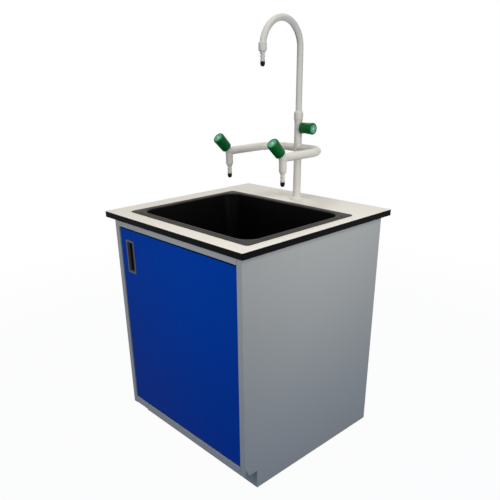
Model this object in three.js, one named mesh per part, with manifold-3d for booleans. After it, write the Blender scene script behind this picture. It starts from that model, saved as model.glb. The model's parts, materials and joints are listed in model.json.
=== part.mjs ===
// Laboratory sink unit: a folded steel cabinet with one inset door, a laminate worktop, a drop-in plastic
// sink with its waste and bottle trap, and a bench tap with a gooseneck and two side outlets.
// Millimetres, +Z up, the front towards -Y, the origin on the floor under the middle of the worktop.

import * as THREE from 'three';
import { mergeVertices } from 'three/addons/utils/BufferGeometryUtils.js';
import Module from 'manifold-3d';

// Clearances between pieces.
const FIT = 0.3;
const RUNNING_CLEARANCE = 0.25;
const CUTOUT_CLEARANCE = 3;
const SEAT_CLEARANCE = 1;

// How far a cut runs past the face that it opens.
const OVERCUT = 1;

// Worktop and sink, seen from above.
const SINK_WIDTH = 594;
const SINK_DEPTH = 482;
const SINK_LEFT_MARGIN = 76.5;
const SINK_RIGHT_MARGIN = 39.5;
const SINK_FRONT_MARGIN = 55.5;
const REAR_LEDGE = 158.5;
const WORKTOP_TOP = 850;
const WORKTOP_THICKNESS = 20;
const DECOR_THICKNESS = 0.8;
const WORKTOP_CORNER_RADIUS = 4;

// Sink bowl. The flange has an outer band, and a raised lip round the mouth.
const SINK_FLANGE = 26;
const SINK_FLANGE_RADIUS = 12;
const SINK_BAND_WIDTH = 12;
const SINK_BAND_HEIGHT = 1.6;
const SINK_LIP_HEIGHT = 3.2;
const SINK_CORNER_RADIUS = 36;
const SINK_SEAL_THICKNESS = 0.8;
const SINK_SEAL_WIDTH = 13;
const SINK_SEAL_INSET = 3;
const SINK_BOWL_DEPTH = 280;
const SINK_WALL = 5;
const SINK_DRAFT = 9;
const SINK_FLOOR_FALL = 8;

// Waste and bottle trap under the sink.
const WASTE_FLANGE_RADIUS = 35;
const WASTE_FLANGE_THICKNESS = 3;
const WASTE_TAIL_RADIUS = 20;
const WASTE_TAIL_WALL = 4;
const WASTE_TAIL_LENGTH = 65;
const WASTE_BAR_WIDTH = 4;
const NUT_WALL = 8;
const WASTE_NUT_HEIGHT = 12;
const TRAP_WALL = 3;
const TRAP_RADIUS = 30;
const TRAP_BODY_HEIGHT = 86;
const TRAP_SOCKET_DEPTH = 14;
const TRAP_DIP_LENGTH = 48;
const TRAP_CUP_HEIGHT = 95;
const TRAP_CUP_OVERLAP = 12;
const TRAP_NUT_HEIGHT = 24;
const OUTLET_RADIUS = 18;
const OUTLET_WALL = 2.5;
const OUTLET_SOCKET_LENGTH = 26;
const OUTLET_END_INSET = 3;

// Folded steel cabinet.
const SIDE_OVERHANG = 26;
const FRONT_OVERHANG = 21;
const BACK_OVERHANG = 17;
const SHEET = 1.5;
const STILE_WIDTH = 22;
const STILE_RETURN = 20;
const FLANGE_WIDTH = 22;
const RAIL_HEIGHT = 28.5;
const RAIL_DEPTH = 40;
const REAR_RAIL_HEIGHT = 50;
const REAR_RAIL_FLANGE = 20;
const TOE_HEIGHT = 71;
const TOE_DEPTH = 56;
const TOE_RELIEF_START = 6;
const TOE_RELIEF_DEPTH = 20;
const TOE_RELIEF_RISE = 31;
const SERVICE_WIDTH = 300;
const SERVICE_HEIGHT = 420;
const SERVICE_SILL = 200;

// Inset double-skin door, hung on its right edge.
const DOOR_GAP = 2.5;
const DOOR_TOP_GAP = 4.7;
const DOOR_BOTTOM_GAP = 1.2;
const DOOR_RECESS = 3;
const DOOR_THICKNESS = 20;
const DOOR_SHEET = 1.2;
const PIVOT_EDGE_DISTANCE = 14;
const PIVOT_FACE_DISTANCE = 7;
const PIN_RADIUS = 3;
const PIN_HEAD_RADIUS = 6;
const PIN_HEAD_HEIGHT = 4;
const PIN_STAND_OUT = 5;
const BUSH_WALL = 1.5;
const BUSH_FLANGE = 1.8;
const BUSH_FLANGE_HEIGHT = 1.5;
const HINGE_BLOCK_WIDTH = 26;
const HINGE_BLOCK_HEIGHT = 30;

// Flush pull and magnetic catch on the door's free side.
const PULL_WIDTH = 48;
const PULL_HEIGHT = 120;
const PULL_RIM = 7;
const PULL_RIM_THICKNESS = 1.6;
const PULL_COLLAR_WALL = 1.2;
const PULL_COLLAR_DEPTH = 9;
const PULL_CUP_WALL = 1.5;
const PULL_CUP_DEPTH = 15;
const PULL_CUP_FLANGE = 4.5;
const PULL_EDGE_DISTANCE = 56;
const PULL_TOP_DISTANCE = 97.3;
const CATCH_EDGE_DISTANCE = 40;
const CATCH_WIDTH = 44;
const CATCH_HEIGHT = 18;
const STRIKE_HEIGHT = 26;
const STRIKE_THICKNESS = 1.5;

// Bench tap. Heights run up the column: worktop, arms, upper valve, swivel nut, gooseneck.
const TAP_SETBACK = 88;
const TAP_BASE_RADIUS = 27;
const TAP_BASE_HEIGHT = 6;
const TAP_HUB_WALL = 2.2;
const TAP_HUB_HEIGHT = 15;
const SHANK_RADIUS = 10;
const SHANK_LENGTH = 65;
const SHANK_BORE = 6;
const SHANK_WASHER_RADIUS = 22;
const SHANK_WASHER_THICKNESS = 4;
const SHANK_NUT_HEIGHT = 12;
const COLUMN_RADIUS = 14;
const COLUMN_BORE = 8;
const ARM_HEIGHT = 183.5;
const ARM_RADIUS = 13.8;
const ARM_BORE = 10;
const ARM_SPREAD = 130;
const ARM_REACH = 216;
const ARM_BEND_RADIUS = 76;
const STUB_LENGTH = 18;
const UPPER_VALVE_RISE = 68.5;
const SWIVEL_RISE = 25;
const SWIVEL_NUT_HEIGHT = 32.5;
const SWIVEL_NUT_OVERLAP = 18;
const SWIVEL_NUT_WALL = 1.9;
const SWIVEL_NUT_SHOULDER = 7;
const GOOSENECK_RADIUS = 11;
const GOOSENECK_BORE = 8.5;
const GOOSENECK_FOOT = 18;
const GOOSENECK_STRAIGHT = 199;
const GOOSENECK_BEND_RADIUS = 89.5;
const GOOSENECK_LEG = 4;
const OUTLET_COLLAR_HEIGHT = 28;
const OUTLET_COLLAR_RADIUS = 13.6;
const OUTLET_COLLAR_TAPER = 4.6;
const OUTLET_COLLAR_FLOOR = 8;

// Valves: body, neck, headwork, spindle, knob and index cap, measured along the spindle from its centre.
const VALVE_BODY_RADIUS = 12.6;
const VALVE_JOINT_RADIUS = 15;
const VALVE_DROP = 50;
const VALVE_TAPER = 6.5;
const VALVE_END_RADIUS = 9;
const NECK_RADIUS = 12.5;
const NECK_LENGTH = 16.5;
const HEADWORK_RADIUS = 8;
const HEADWORK_START = 6;
const HEADWORK_HEX_RADIUS = 11;
const HEADWORK_HEX_HEIGHT = 3;
const SPINDLE_RADIUS = 3.7;
const SPINDLE_START = 10;
const SPINDLE_LENGTH = 34;
const KNOB_GAP = 0.8;
const KNOB_LENGTH = 54;
const KNOB_BASE_RADIUS = 18.5;
const KNOB_END_RADIUS = 20;
const KNOB_EDGE = 3;
const KNOB_HOLLOW_RADIUS = 13;
const KNOB_HOLLOW_DEPTH = 6;
const CAP_RADIUS = 5.4;
const CAP_THICKNESS = 1.5;
const FRONT_KNOB_TILT = Math.PI / 4;
const SIDE_KNOB_TILT = Math.PI / 2;

// Serrated nozzle and its tip, the same at all three outlets, measured down from the outlet face.
const NOZZLE_INSERT_RADIUS = 4.6;
const NOZZLE_INSERT_LENGTH = 12;
const NOZZLE_BORE = 2.6;
const NOZZLE_LENGTH = 27.5;
const NOZZLE_COLLAR_RADIUS = 8.2;
const NOZZLE_COLLAR_HEIGHT = 6;
const NOZZLE_ROOT_RADIUS = 6.2;
const NOZZLE_GROOVE = 3.4;
const NOZZLE_RIB_RADIUS = 8;
const NOZZLE_RIBS = 2;
const SPIGOT_RADIUS = 3.8;
const SPIGOT_LENGTH = 8;
const TIP_RADIUS = 7.8;
const TIP_LENGTH = 14.8;
const TIP_BORE = 2.2;

// Facets on round pieces.
const ROUND_SIDES = 20;
const TUBE_SIDES = 14;
const BORE_SIDES = 10;
const NOZZLE_SIDES = 12;
const CORNER_STEPS = 4;
const BEND_STEP = Math.PI / 15;
const HEX_SIDES = 6;

// Places worked out from the sizes above.
const worktopWidth = SINK_LEFT_MARGIN + SINK_WIDTH + SINK_RIGHT_MARGIN;
const worktopDepth = SINK_FRONT_MARGIN + SINK_DEPTH + REAR_LEDGE;
const worktopBack = worktopDepth / 2;
const worktopUnderside = WORKTOP_TOP - WORKTOP_THICKNESS;
const sinkX = (SINK_LEFT_MARGIN - SINK_RIGHT_MARGIN) / 2;
const sinkY = (SINK_FRONT_MARGIN - REAR_LEDGE) / 2;
const tapY = worktopBack - TAP_SETBACK;
const cabinetSide = worktopWidth / 2 - SIDE_OVERHANG;
const cabinetFront = FRONT_OVERHANG - worktopDepth / 2;
const cabinetBack = worktopBack - BACK_OVERHANG;
const innerSide = cabinetSide - SHEET;
const stileEdge = cabinetSide - STILE_WIDTH;
const railEnd = stileEdge - FIT;
const toeBack = cabinetFront + TOE_DEPTH;
const floorTop = TOE_HEIGHT + RAIL_HEIGHT;
const topRailBottom = worktopUnderside - RAIL_HEIGHT;
const doorSide = stileEdge - DOOR_GAP;
const doorFront = cabinetFront + DOOR_RECESS;
const doorBack = doorFront + DOOR_THICKNESS;
const doorBottom = floorTop + DOOR_BOTTOM_GAP;
const doorTop = topRailBottom - DOOR_TOP_GAP;
const pivotX = doorSide - PIVOT_EDGE_DISTANCE;
const pivotY = doorFront + PIVOT_FACE_DISTANCE;

const wasm = await Module();
wasm.setup();

// A closed solid from a geometry: shared points merged, empty triangles dropped, faces turned outwards.
function toSolid(geometry) {
  const bare = geometry.clone();
  bare.deleteAttribute('normal');
  bare.deleteAttribute('uv');
  const merged = mergeVertices(bare);
  const points = merged.attributes.position;
  const corner = [new THREE.Vector3(), new THREE.Vector3(), new THREE.Vector3()];
  const triangles = [];
  let volume = 0;
  for (let start = 0; start < merged.index.count; start += 3) {
    const face = [0, 1, 2].map((step) => merged.index.getX(start + step));
    if (new Set(face).size === 3) {
      face.forEach((point, step) => corner[step].fromBufferAttribute(points, point));
      volume += corner[0].dot(corner[1].clone().cross(corner[2]));
      triangles.push(face);
    }
  }
  if (volume < 0) {
    triangles.forEach((face) => face.reverse());
  }
  const mesh = new wasm.Mesh({
    numProp: 3,
    vertProperties: new Float32Array(points.array),
    triVerts: new Uint32Array(triangles.flat()),
  });
  return new wasm.Manifold(mesh);
}

// A named mesh of one solid, with its own material.
function piece(name, solid, look) {
  const { vertProperties, triVerts } = solid.getMesh();
  const geometry = new THREE.BufferGeometry();
  geometry.setAttribute('position', new THREE.BufferAttribute(vertProperties, 3));
  geometry.setIndex(new THREE.BufferAttribute(triVerts, 1));
  geometry.computeVertexNormals();
  const mesh = new THREE.Mesh(geometry, new THREE.MeshStandardMaterial(look));
  mesh.name = name;
  return mesh;
}

function union(solids) {
  return solids.reduce((joined, next) => joined.add(next));
}

// A block between two values on each axis, given in either order.
function block([xA, xB], [yA, yB], [zA, zB]) {
  const geometry = new THREE.BoxGeometry(Math.abs(xB - xA), Math.abs(yB - yA), Math.abs(zB - zA));
  geometry.translate((xA + xB) / 2, (yA + yB) / 2, (zA + zB) / 2);
  return toSolid(geometry);
}

const origin = new THREE.Vector2(0, 0);

function roundedOutline(OutlineType, size, radius, middle) {
  const outline = new OutlineType();
  const x = size.width / 2 - radius;
  const y = size.depth / 2 - radius;
  outline.absarc(middle.x + x, middle.y + y, radius, 0, Math.PI / 2);
  outline.absarc(middle.x - x, middle.y + y, radius, Math.PI / 2, Math.PI);
  outline.absarc(middle.x - x, middle.y - y, radius, Math.PI, 1.5 * Math.PI);
  outline.absarc(middle.x + x, middle.y - y, radius, 1.5 * Math.PI, 2 * Math.PI);
  outline.closePath();
  return outline;
}

function circle(OutlineType, radius, middle) {
  const outline = new OutlineType();
  outline.absarc(middle.x, middle.y, radius, 0, 2 * Math.PI);
  return outline;
}

// A size brought in by the same step on all four sides.
function narrowed(size, step) {
  return { width: size.width - 2 * step, depth: size.depth - 2 * step };
}

// A flat outline made solid from one height to another.
function plate(outline, bottom, top) {
  const geometry = new THREE.ExtrudeGeometry(outline, {
    depth: top - bottom,
    bevelEnabled: false,
    curveSegments: CORNER_STEPS,
  });
  geometry.translate(0, 0, bottom);
  return toSolid(geometry);
}

// A rounded block about the sink's middle that narrows evenly from its top to its bottom.
function taperedBlock(topSize, bottomSize, radius, bottom, top) {
  const outline = roundedOutline(THREE.Shape, topSize, radius, origin);
  const geometry = new THREE.ExtrudeGeometry(outline, {
    depth: top - bottom,
    bevelEnabled: false,
    curveSegments: CORNER_STEPS,
  });
  const points = geometry.attributes.position;
  for (let point = 0; point < points.count; point += 1) {
    if (points.getZ(point) === 0) {
      points.setX(point, points.getX(point) * bottomSize.width / topSize.width);
      points.setY(point, points.getY(point) * bottomSize.depth / topSize.depth);
    }
  }
  geometry.translate(sinkX, sinkY, bottom);
  return toSolid(geometry);
}

// A turned solid about the local Z axis. The profile is a list of [radius, height] corners.
function turned(profile, sides = ROUND_SIDES, place = new THREE.Matrix4()) {
  const corners = profile.map(([radius, height]) => new THREE.Vector2(radius, height));
  const geometry = new THREE.LatheGeometry(corners, sides);
  geometry.rotateX(Math.PI / 2);
  geometry.applyMatrix4(place);
  return toSolid(geometry);
}

function rod(radius, bottom, top, sides, place) {
  return turned([[0, bottom], [radius, bottom], [radius, top], [0, top]], sides, place);
}

function ring(outer, inner, bottom, top, sides) {
  const corners = [[inner, bottom], [outer, bottom], [outer, top], [inner, top], [inner, bottom]];
  return turned(corners, sides);
}

// A nut: a six-sided prism measured across its corners, with a round bore.
function hexNut(corner, bore, bottom, top) {
  return rod(corner, bottom, top, HEX_SIDES).subtract(rod(bore, bottom - OVERCUT, top + OVERCUT));
}

function at(x, y, z) {
  return new THREE.Matrix4().makeTranslation(x, y, z);
}

const alongX = new THREE.Matrix4().makeRotationY(Math.PI / 2);
const alongY = new THREE.Matrix4().makeRotationX(-Math.PI / 2);

// A centreline that runs straight, bends once and runs straight again, in the plane of two directions.
// It is walked in steps: one for each straight run, and even ones round the bend.
class BentLine extends THREE.Curve {
  constructor({ start, forward, sideways, firstRun, bendRadius, bendAngle, lastRun }) {
    super();
    Object.assign(this, { start, forward, sideways, firstRun, bendRadius, bendAngle, lastRun });
    this.bendSteps = Math.ceil(bendAngle / BEND_STEP);
    this.steps = this.bendSteps + 2;
  }

  getUtoTmapping(share) {
    return share;
  }

  getPoint(share, target = new THREE.Vector3()) {
    const step = share * this.steps;
    const straight = this.firstRun * Math.min(step, 1);
    const angle = this.bendAngle * THREE.MathUtils.clamp((step - 1) / this.bendSteps, 0, 1);
    const rest = this.lastRun * Math.max(step - 1 - this.bendSteps, 0);
    const ahead = straight + this.bendRadius * Math.sin(angle) + rest * Math.cos(angle);
    const aside = this.bendRadius * (1 - Math.cos(angle)) + rest * Math.sin(angle);
    target.copy(this.start);
    target.addScaledVector(this.forward, ahead);
    return target.addScaledVector(this.sideways, aside);
  }
}

function sweep(path, radius, sides) {
  const geometry = new THREE.ExtrudeGeometry(circle(THREE.Shape, radius, origin), {
    extrudePath: path,
    steps: path.steps,
    curveSegments: sides / 2,
  });
  return toSolid(geometry);
}

function bentTube(path, radius, bore) {
  return sweep(path, radius, TUBE_SIDES).subtract(sweep(path, bore, BORE_SIDES));
}

const paintedGrey = { color: 0xa3a8aa, roughness: 0.55, metalness: 0 };
const paintedBlue = { color: 0x0d3c96, roughness: 0.3, metalness: 0 };
const decorWhite = { color: 0xe2dfd6, roughness: 0.5, metalness: 0 };
const laminateBlack = { color: 0x16161a, roughness: 0.6, metalness: 0 };
const sinkBlack = { color: 0x1c1c1f, roughness: 0.45, metalness: 0 };
const rubberBlack = { color: 0x101011, roughness: 0.8, metalness: 0 };
const trapWhite = { color: 0xdfe0de, roughness: 0.45, metalness: 0 };
const tapWhite = { color: 0xeeeee8, roughness: 0.3, metalness: 0 };
const knobGreen = { color: 0x1c783e, roughness: 0.4, metalness: 0 };
const capBlue = { color: 0x9fcfe0, roughness: 0.35, metalness: 0 };
const brass = { color: 0xb8924a, roughness: 0.35, metalness: 1 };
const steel = { color: 0xb4b6ba, roughness: 0.35, metalness: 1 };
const pullGrey = { color: 0x6e7073, roughness: 0.45, metalness: 0.3 };
const cupBlack = { color: 0x121214, roughness: 0.6, metalness: 0 };
const nylon = { color: 0xe6e4dc, roughness: 0.5, metalness: 0 };

// Side panel: one sheet folded into the stile at the front and into flanges at the back, top and foot.
// Its lower front corner is notched for the toe space, with a slanting relief where the stile fold ends.
function sidePanel(name, side) {
  const outline = new THREE.Shape();
  outline.moveTo(toeBack, 0);
  outline.lineTo(cabinetBack, 0);
  outline.lineTo(cabinetBack, worktopUnderside);
  outline.lineTo(cabinetFront, worktopUnderside);
  outline.lineTo(cabinetFront, TOE_HEIGHT);
  outline.lineTo(cabinetFront + TOE_RELIEF_START, TOE_HEIGHT + TOE_RELIEF_RISE);
  outline.lineTo(cabinetFront + TOE_RELIEF_DEPTH, TOE_HEIGHT);
  outline.lineTo(toeBack, TOE_HEIGHT);
  outline.closePath();
  const upright = new THREE.ExtrudeGeometry(outline, { depth: SHEET, bevelEnabled: false });
  const lengthwise = new THREE.Vector3(0, 1, 0);
  const upwards = new THREE.Vector3(0, 0, 1);
  const sideways = new THREE.Vector3(1, 0, 0);
  upright.applyMatrix4(new THREE.Matrix4().makeBasis(lengthwise, upwards, sideways));
  upright.translate(side > 0 ? innerSide : -cabinetSide, 0, 0);
  const stileSpan = [side * stileEdge, side * cabinetSide];
  const lipSpan = [side * stileEdge, side * (stileEdge + SHEET)];
  const flangeSpan = [side * (cabinetSide - FLANGE_WIDTH), side * cabinetSide];
  const frameHeight = [TOE_HEIGHT, worktopUnderside];
  const stile = block(stileSpan, [cabinetFront, cabinetFront + SHEET], frameHeight);
  const lip = block(lipSpan, [cabinetFront, cabinetFront + STILE_RETURN], frameHeight);
  const backFlange = block(flangeSpan, [cabinetBack - SHEET, cabinetBack], [0, worktopUnderside]);
  const topSpan = [worktopUnderside - SHEET, worktopUnderside];
  const topFlange = block(flangeSpan, [cabinetFront, cabinetBack], topSpan);
  const footFlange = block(flangeSpan, [toeBack, cabinetBack], [0, SHEET]);
  const folds = [toSolid(upright), stile, lip, backFlange, topFlange, footFlange];
  return piece(name, union(folds), paintedGrey);
}

// Base panel: the cabinet floor, with the bottom rail folded down at the front and flanges on the others.
function basePanel() {
  const wide = innerSide - FIT;
  const back = cabinetBack - 2 * SHEET - FIT;
  const behindStiles = cabinetFront + STILE_RETURN + FIT;
  const floorSpan = [floorTop - SHEET, floorTop];
  const frontFloor = block([-railEnd, railEnd], [cabinetFront, behindStiles], floorSpan);
  const mainFloor = block([-wide, wide], [behindStiles, back], floorSpan);
  const apron = block([-railEnd, railEnd], [cabinetFront, cabinetFront + SHEET], [TOE_HEIGHT, floorTop]);
  const apronLip = block(
    [-railEnd, railEnd],
    [cabinetFront, cabinetFront + STILE_RETURN],
    [TOE_HEIGHT, TOE_HEIGHT + SHEET],
  );
  const flangeHeight = [floorTop - FLANGE_WIDTH, floorTop];
  const left = block([-wide, SHEET - wide], [toeBack + FLANGE_WIDTH, back], flangeHeight);
  const right = block([wide - SHEET, wide], [toeBack + FLANGE_WIDTH, back], flangeHeight);
  const rear = block([-wide, wide], [back - SHEET, back], flangeHeight);
  const folds = union([frontFloor, mainFloor, apron, apronLip, left, right, rear]);
  const pinHole = rod(
    PIN_RADIUS + FIT,
    floorTop - SHEET - OVERCUT,
    floorTop + OVERCUT,
    ROUND_SIDES,
    at(pivotX, pivotY, 0),
  );
  return piece('base_panel', folds.subtract(pinHole), paintedGrey);
}

function plinth() {
  const top = floorTop - SHEET - FIT;
  const wide = innerSide - FIT;
  const face = block([-wide, wide], [toeBack, toeBack + SHEET], [0, top]);
  const foot = block([-railEnd, railEnd], [toeBack, toeBack + FLANGE_WIDTH], [0, SHEET]);
  const head = block([-railEnd, railEnd], [toeBack, toeBack + FLANGE_WIDTH], [top - SHEET, top]);
  const footRoom = block([-wide - OVERCUT, -railEnd], [toeBack, toeBack + SHEET], [0, SHEET + FIT]);
  const otherFootRoom = block([railEnd, wide + OVERCUT], [toeBack, toeBack + SHEET], [0, SHEET + FIT]);
  const folded = union([face, foot, head]).subtract(footRoom).subtract(otherFootRoom);
  return piece('plinth', folded, paintedGrey);
}

// Back panel: a flat sheet inside the rear flanges, with a service cut-out for the pipes.
function backPanel() {
  const wide = innerSide - FIT;
  const span = [cabinetBack - 2 * SHEET, cabinetBack - SHEET];
  const sheet = block([-wide, wide], span, [SHEET + FIT, worktopUnderside - SHEET - FIT]);
  const cutout = block(
    [-SERVICE_WIDTH / 2, SERVICE_WIDTH / 2],
    [span[0] - OVERCUT, span[1] + OVERCUT],
    [SERVICE_SILL, SERVICE_SILL + SERVICE_HEIGHT],
  );
  return piece('back_panel', sheet.subtract(cutout), paintedGrey);
}

// Front top rail: a channel whose lower flange carries the upper hinge bush.
function topRail() {
  const across = [-railEnd, railEnd];
  const deep = [cabinetFront, cabinetFront + RAIL_DEPTH];
  const face = block(across, [cabinetFront, cabinetFront + SHEET], [topRailBottom, worktopUnderside]);
  const head = block(across, deep, [worktopUnderside - SHEET, worktopUnderside]);
  const foot = block(across, deep, [topRailBottom, topRailBottom + SHEET]);
  const bushHole = rod(
    PIN_RADIUS + FIT + BUSH_WALL + FIT,
    topRailBottom - OVERCUT,
    topRailBottom + SHEET + OVERCUT,
    ROUND_SIDES,
    at(pivotX, pivotY, 0),
  );
  return piece('top_rail', union([face, head, foot]).subtract(bushHole), paintedGrey);
}

function rearRail() {
  const across = [-railEnd, railEnd];
  const back = cabinetBack - 2 * SHEET - FIT;
  const web = block(across, [back - SHEET, back], [worktopUnderside - REAR_RAIL_HEIGHT, worktopUnderside]);
  const head = block(across, [back - REAR_RAIL_FLANGE, back], [worktopUnderside - SHEET, worktopUnderside]);
  return piece('rear_rail', union([web, head]), paintedGrey);
}

function cabinet() {
  const group = new THREE.Group();
  group.add(sidePanel('side_panel_left', -1));
  group.add(sidePanel('side_panel_right', 1));
  group.add(basePanel());
  group.add(plinth());
  group.add(backPanel());
  group.add(topRail());
  group.add(rearRail());
  return group;
}

// Flush pull: the rim lies on the door, its collar passes through the skin into the cup behind.
const pull = {
  x: PULL_EDGE_DISTANCE - doorSide,
  z: doorTop - PULL_TOP_DISTANCE,
  mouthWidth: PULL_WIDTH - 2 * PULL_RIM,
  mouthHeight: PULL_HEIGHT - 2 * PULL_RIM,
};
const pullHole = 2 * (PULL_COLLAR_WALL + FIT);

function pullBlock(widthOver, heightOver, depthSpan) {
  const halfWidth = (pull.mouthWidth + widthOver) / 2;
  const halfHeight = (pull.mouthHeight + heightOver) / 2;
  const across = [pull.x - halfWidth, pull.x + halfWidth];
  return block(across, depthSpan, [pull.z - halfHeight, pull.z + halfHeight]);
}

function pullRim() {
  const proud = doorFront - PULL_RIM_THICKNESS;
  const collarEnd = doorFront + PULL_COLLAR_DEPTH;
  const flange = pullBlock(2 * PULL_RIM, 2 * PULL_RIM, [proud, doorFront]);
  const collar = pullBlock(2 * PULL_COLLAR_WALL, 2 * PULL_COLLAR_WALL, [proud, collarEnd]);
  const mouth = pullBlock(0, 0, [proud - OVERCUT, collarEnd + OVERCUT]);
  return piece('pull_rim', flange.add(collar).subtract(mouth), pullGrey);
}

function pullCup() {
  const mouthFace = doorFront + DOOR_SHEET;
  const end = doorFront + PULL_CUP_DEPTH;
  const outside = pullHole + 2 * PULL_CUP_WALL;
  const flanged = outside + 2 * PULL_CUP_FLANGE;
  const flange = pullBlock(flanged, flanged, [mouthFace, mouthFace + PULL_CUP_WALL]);
  const shell = pullBlock(outside, outside, [mouthFace, end + PULL_CUP_WALL]);
  const hollow = pullBlock(pullHole, pullHole, [mouthFace - OVERCUT, end]);
  return piece('pull_cup', flange.add(shell).subtract(hollow), cupBlack);
}

// Outer skin: a tray open at the back, holed for the pull, the upper pin and the lower bush.
function doorOuterSkin() {
  const tray = block([-doorSide, doorSide], [doorFront, doorBack], [doorBottom, doorTop]);
  const inside = block(
    [DOOR_SHEET - doorSide, doorSide - DOOR_SHEET],
    [doorFront + DOOR_SHEET, doorBack + OVERCUT],
    [doorBottom + DOOR_SHEET, doorTop - DOOR_SHEET],
  );
  const pullCut = pullBlock(pullHole, pullHole, [doorFront - OVERCUT, doorFront + DOOR_SHEET + OVERCUT]);
  const pivot = at(pivotX, pivotY, 0);
  const pinStart = doorTop - DOOR_SHEET - OVERCUT;
  const pinHole = rod(PIN_RADIUS + FIT, pinStart, doorTop + OVERCUT, ROUND_SIDES, pivot);
  const bushRadius = PIN_RADIUS + FIT + BUSH_WALL + FIT;
  const bushEnd = doorBottom + DOOR_SHEET + OVERCUT;
  const bushHole = rod(bushRadius, doorBottom - OVERCUT, bushEnd, ROUND_SIDES, pivot);
  const skin = tray.subtract(inside).subtract(pullCut).subtract(pinHole).subtract(bushHole);
  return piece('door_outer_skin', skin, paintedBlue);
}

function doorInnerSkin() {
  const edge = DOOR_SHEET + FIT;
  const sheet = block(
    [edge - doorSide, doorSide - edge],
    [doorBack - DOOR_SHEET, doorBack],
    [doorBottom + edge, doorTop - edge],
  );
  return piece('door_inner_skin', sheet, paintedBlue);
}

function hingeBlock(name, bottom, bore) {
  const outerEdge = doorSide - DOOR_SHEET - FIT;
  const body = block(
    [outerEdge - HINGE_BLOCK_WIDTH, outerEdge],
    [doorFront + DOOR_SHEET + FIT, doorBack - DOOR_SHEET - FIT],
    [bottom, bottom + HINGE_BLOCK_HEIGHT],
  );
  const top = bottom + HINGE_BLOCK_HEIGHT + OVERCUT;
  const hole = rod(bore, bottom - OVERCUT, top, ROUND_SIDES, at(pivotX, pivotY, 0));
  return piece(name, body.subtract(hole), steel);
}

// Pivot hinges: the upper pin stands out of the door into a bush in the top rail, and the lower pin stands
// out of the cabinet floor into a bush in the door, whose flange carries the door's weight.
function hinges() {
  const group = new THREE.Group();
  const bushBore = PIN_RADIUS + FIT;
  const bushRadius = bushBore + BUSH_WALL;
  const flangeRadius = bushRadius + BUSH_FLANGE;
  const upperBlockBottom = doorTop - DOOR_SHEET - HINGE_BLOCK_HEIGHT;
  const lowerBlockBottom = doorBottom + DOOR_SHEET;
  const lowerBlockTop = lowerBlockBottom + HINGE_BLOCK_HEIGHT;
  group.add(hingeBlock('hinge_block_upper', upperBlockBottom, bushBore));
  group.add(hingeBlock('hinge_block_lower', lowerBlockBottom, bushRadius + FIT));

  const pinTop = topRailBottom + SHEET + PIN_STAND_OUT;
  const upperPin = piece('hinge_pin_upper', rod(PIN_RADIUS, upperBlockBottom, pinTop), steel);
  const floorUnder = floorTop - SHEET;
  const lowerPinProfile = [
    [0, floorUnder - PIN_HEAD_HEIGHT],
    [PIN_HEAD_RADIUS, floorUnder - PIN_HEAD_HEIGHT],
    [PIN_HEAD_RADIUS, floorUnder],
    [PIN_RADIUS, floorUnder],
    [PIN_RADIUS, lowerBlockTop],
    [0, lowerBlockTop],
  ];
  const lowerPin = piece('hinge_pin_lower', turned(lowerPinProfile), steel);

  const upperFlangeBottom = topRailBottom - BUSH_FLANGE_HEIGHT;
  const upperFlange = ring(flangeRadius, bushBore, upperFlangeBottom, topRailBottom);
  const upperSleeve = ring(bushRadius, bushBore, upperFlangeBottom, pinTop);
  const upperBush = piece('hinge_bush_upper', upperFlange.add(upperSleeve), nylon);
  const lowerFlangeBottom = floorTop + RUNNING_CLEARANCE;
  const lowerFlange = ring(flangeRadius, bushBore, lowerFlangeBottom, doorBottom);
  const lowerSleeve = ring(bushRadius, bushBore, lowerFlangeBottom, lowerBlockTop);
  const lowerBush = piece('hinge_bush_lower', lowerFlange.add(lowerSleeve), nylon);
  for (const round of [upperPin, lowerPin, upperBush, lowerBush]) {
    round.position.set(pivotX, pivotY, 0);
    group.add(round);
  }
  return group;
}

// Magnetic catch under the top rail, and the steel strike on the door's inner skin in front of it.
function magneticCatch() {
  const group = new THREE.Group();
  const left = CATCH_EDGE_DISTANCE - doorSide;
  const across = [left, left + CATCH_WIDTH];
  const strikeBack = doorBack + STRIKE_THICKNESS;
  const strikeTop = doorTop - DOOR_SHEET - FIT;
  const strike = block(across, [doorBack, strikeBack], [strikeTop - STRIKE_HEIGHT, strikeTop]);
  group.add(piece('catch_strike', strike, steel));
  const magnetSpan = [strikeBack + FIT, cabinetFront + RAIL_DEPTH];
  const magnet = block(across, magnetSpan, [topRailBottom - CATCH_HEIGHT, topRailBottom]);
  group.add(piece('catch_magnet', magnet, nylon));
  return group;
}

function door() {
  const group = new THREE.Group();
  group.add(doorOuterSkin());
  group.add(doorInnerSkin());
  group.add(pullRim());
  group.add(pullCup());
  group.add(hinges());
  group.add(magneticCatch());
  return group;
}

// Sink sizes shared by the bowl, its cut-out and its waste.
const sinkCentre = new THREE.Vector2(sinkX, sinkY);
const flange = { width: SINK_WIDTH, depth: SINK_DEPTH };
const mouth = narrowed(flange, SINK_FLANGE);
const outerMouth = narrowed(mouth, -SINK_WALL);
const wallRadius = SINK_CORNER_RADIUS + SINK_WALL;
const flangeBottom = WORKTOP_TOP + SINK_SEAL_THICKNESS;
const rimTop = flangeBottom + SINK_LIP_HEIGHT;
const bowlFloor = rimTop - SINK_BOWL_DEPTH;
const drainFloor = bowlFloor - SINK_FLOOR_FALL;
const wasteSeat = drainFloor - WASTE_FLANGE_THICKNESS - SEAT_CLEARANCE;
const bowlUnderside = wasteSeat - SINK_WALL;
const tailEnd = wasteSeat - WASTE_TAIL_LENGTH;

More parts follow.
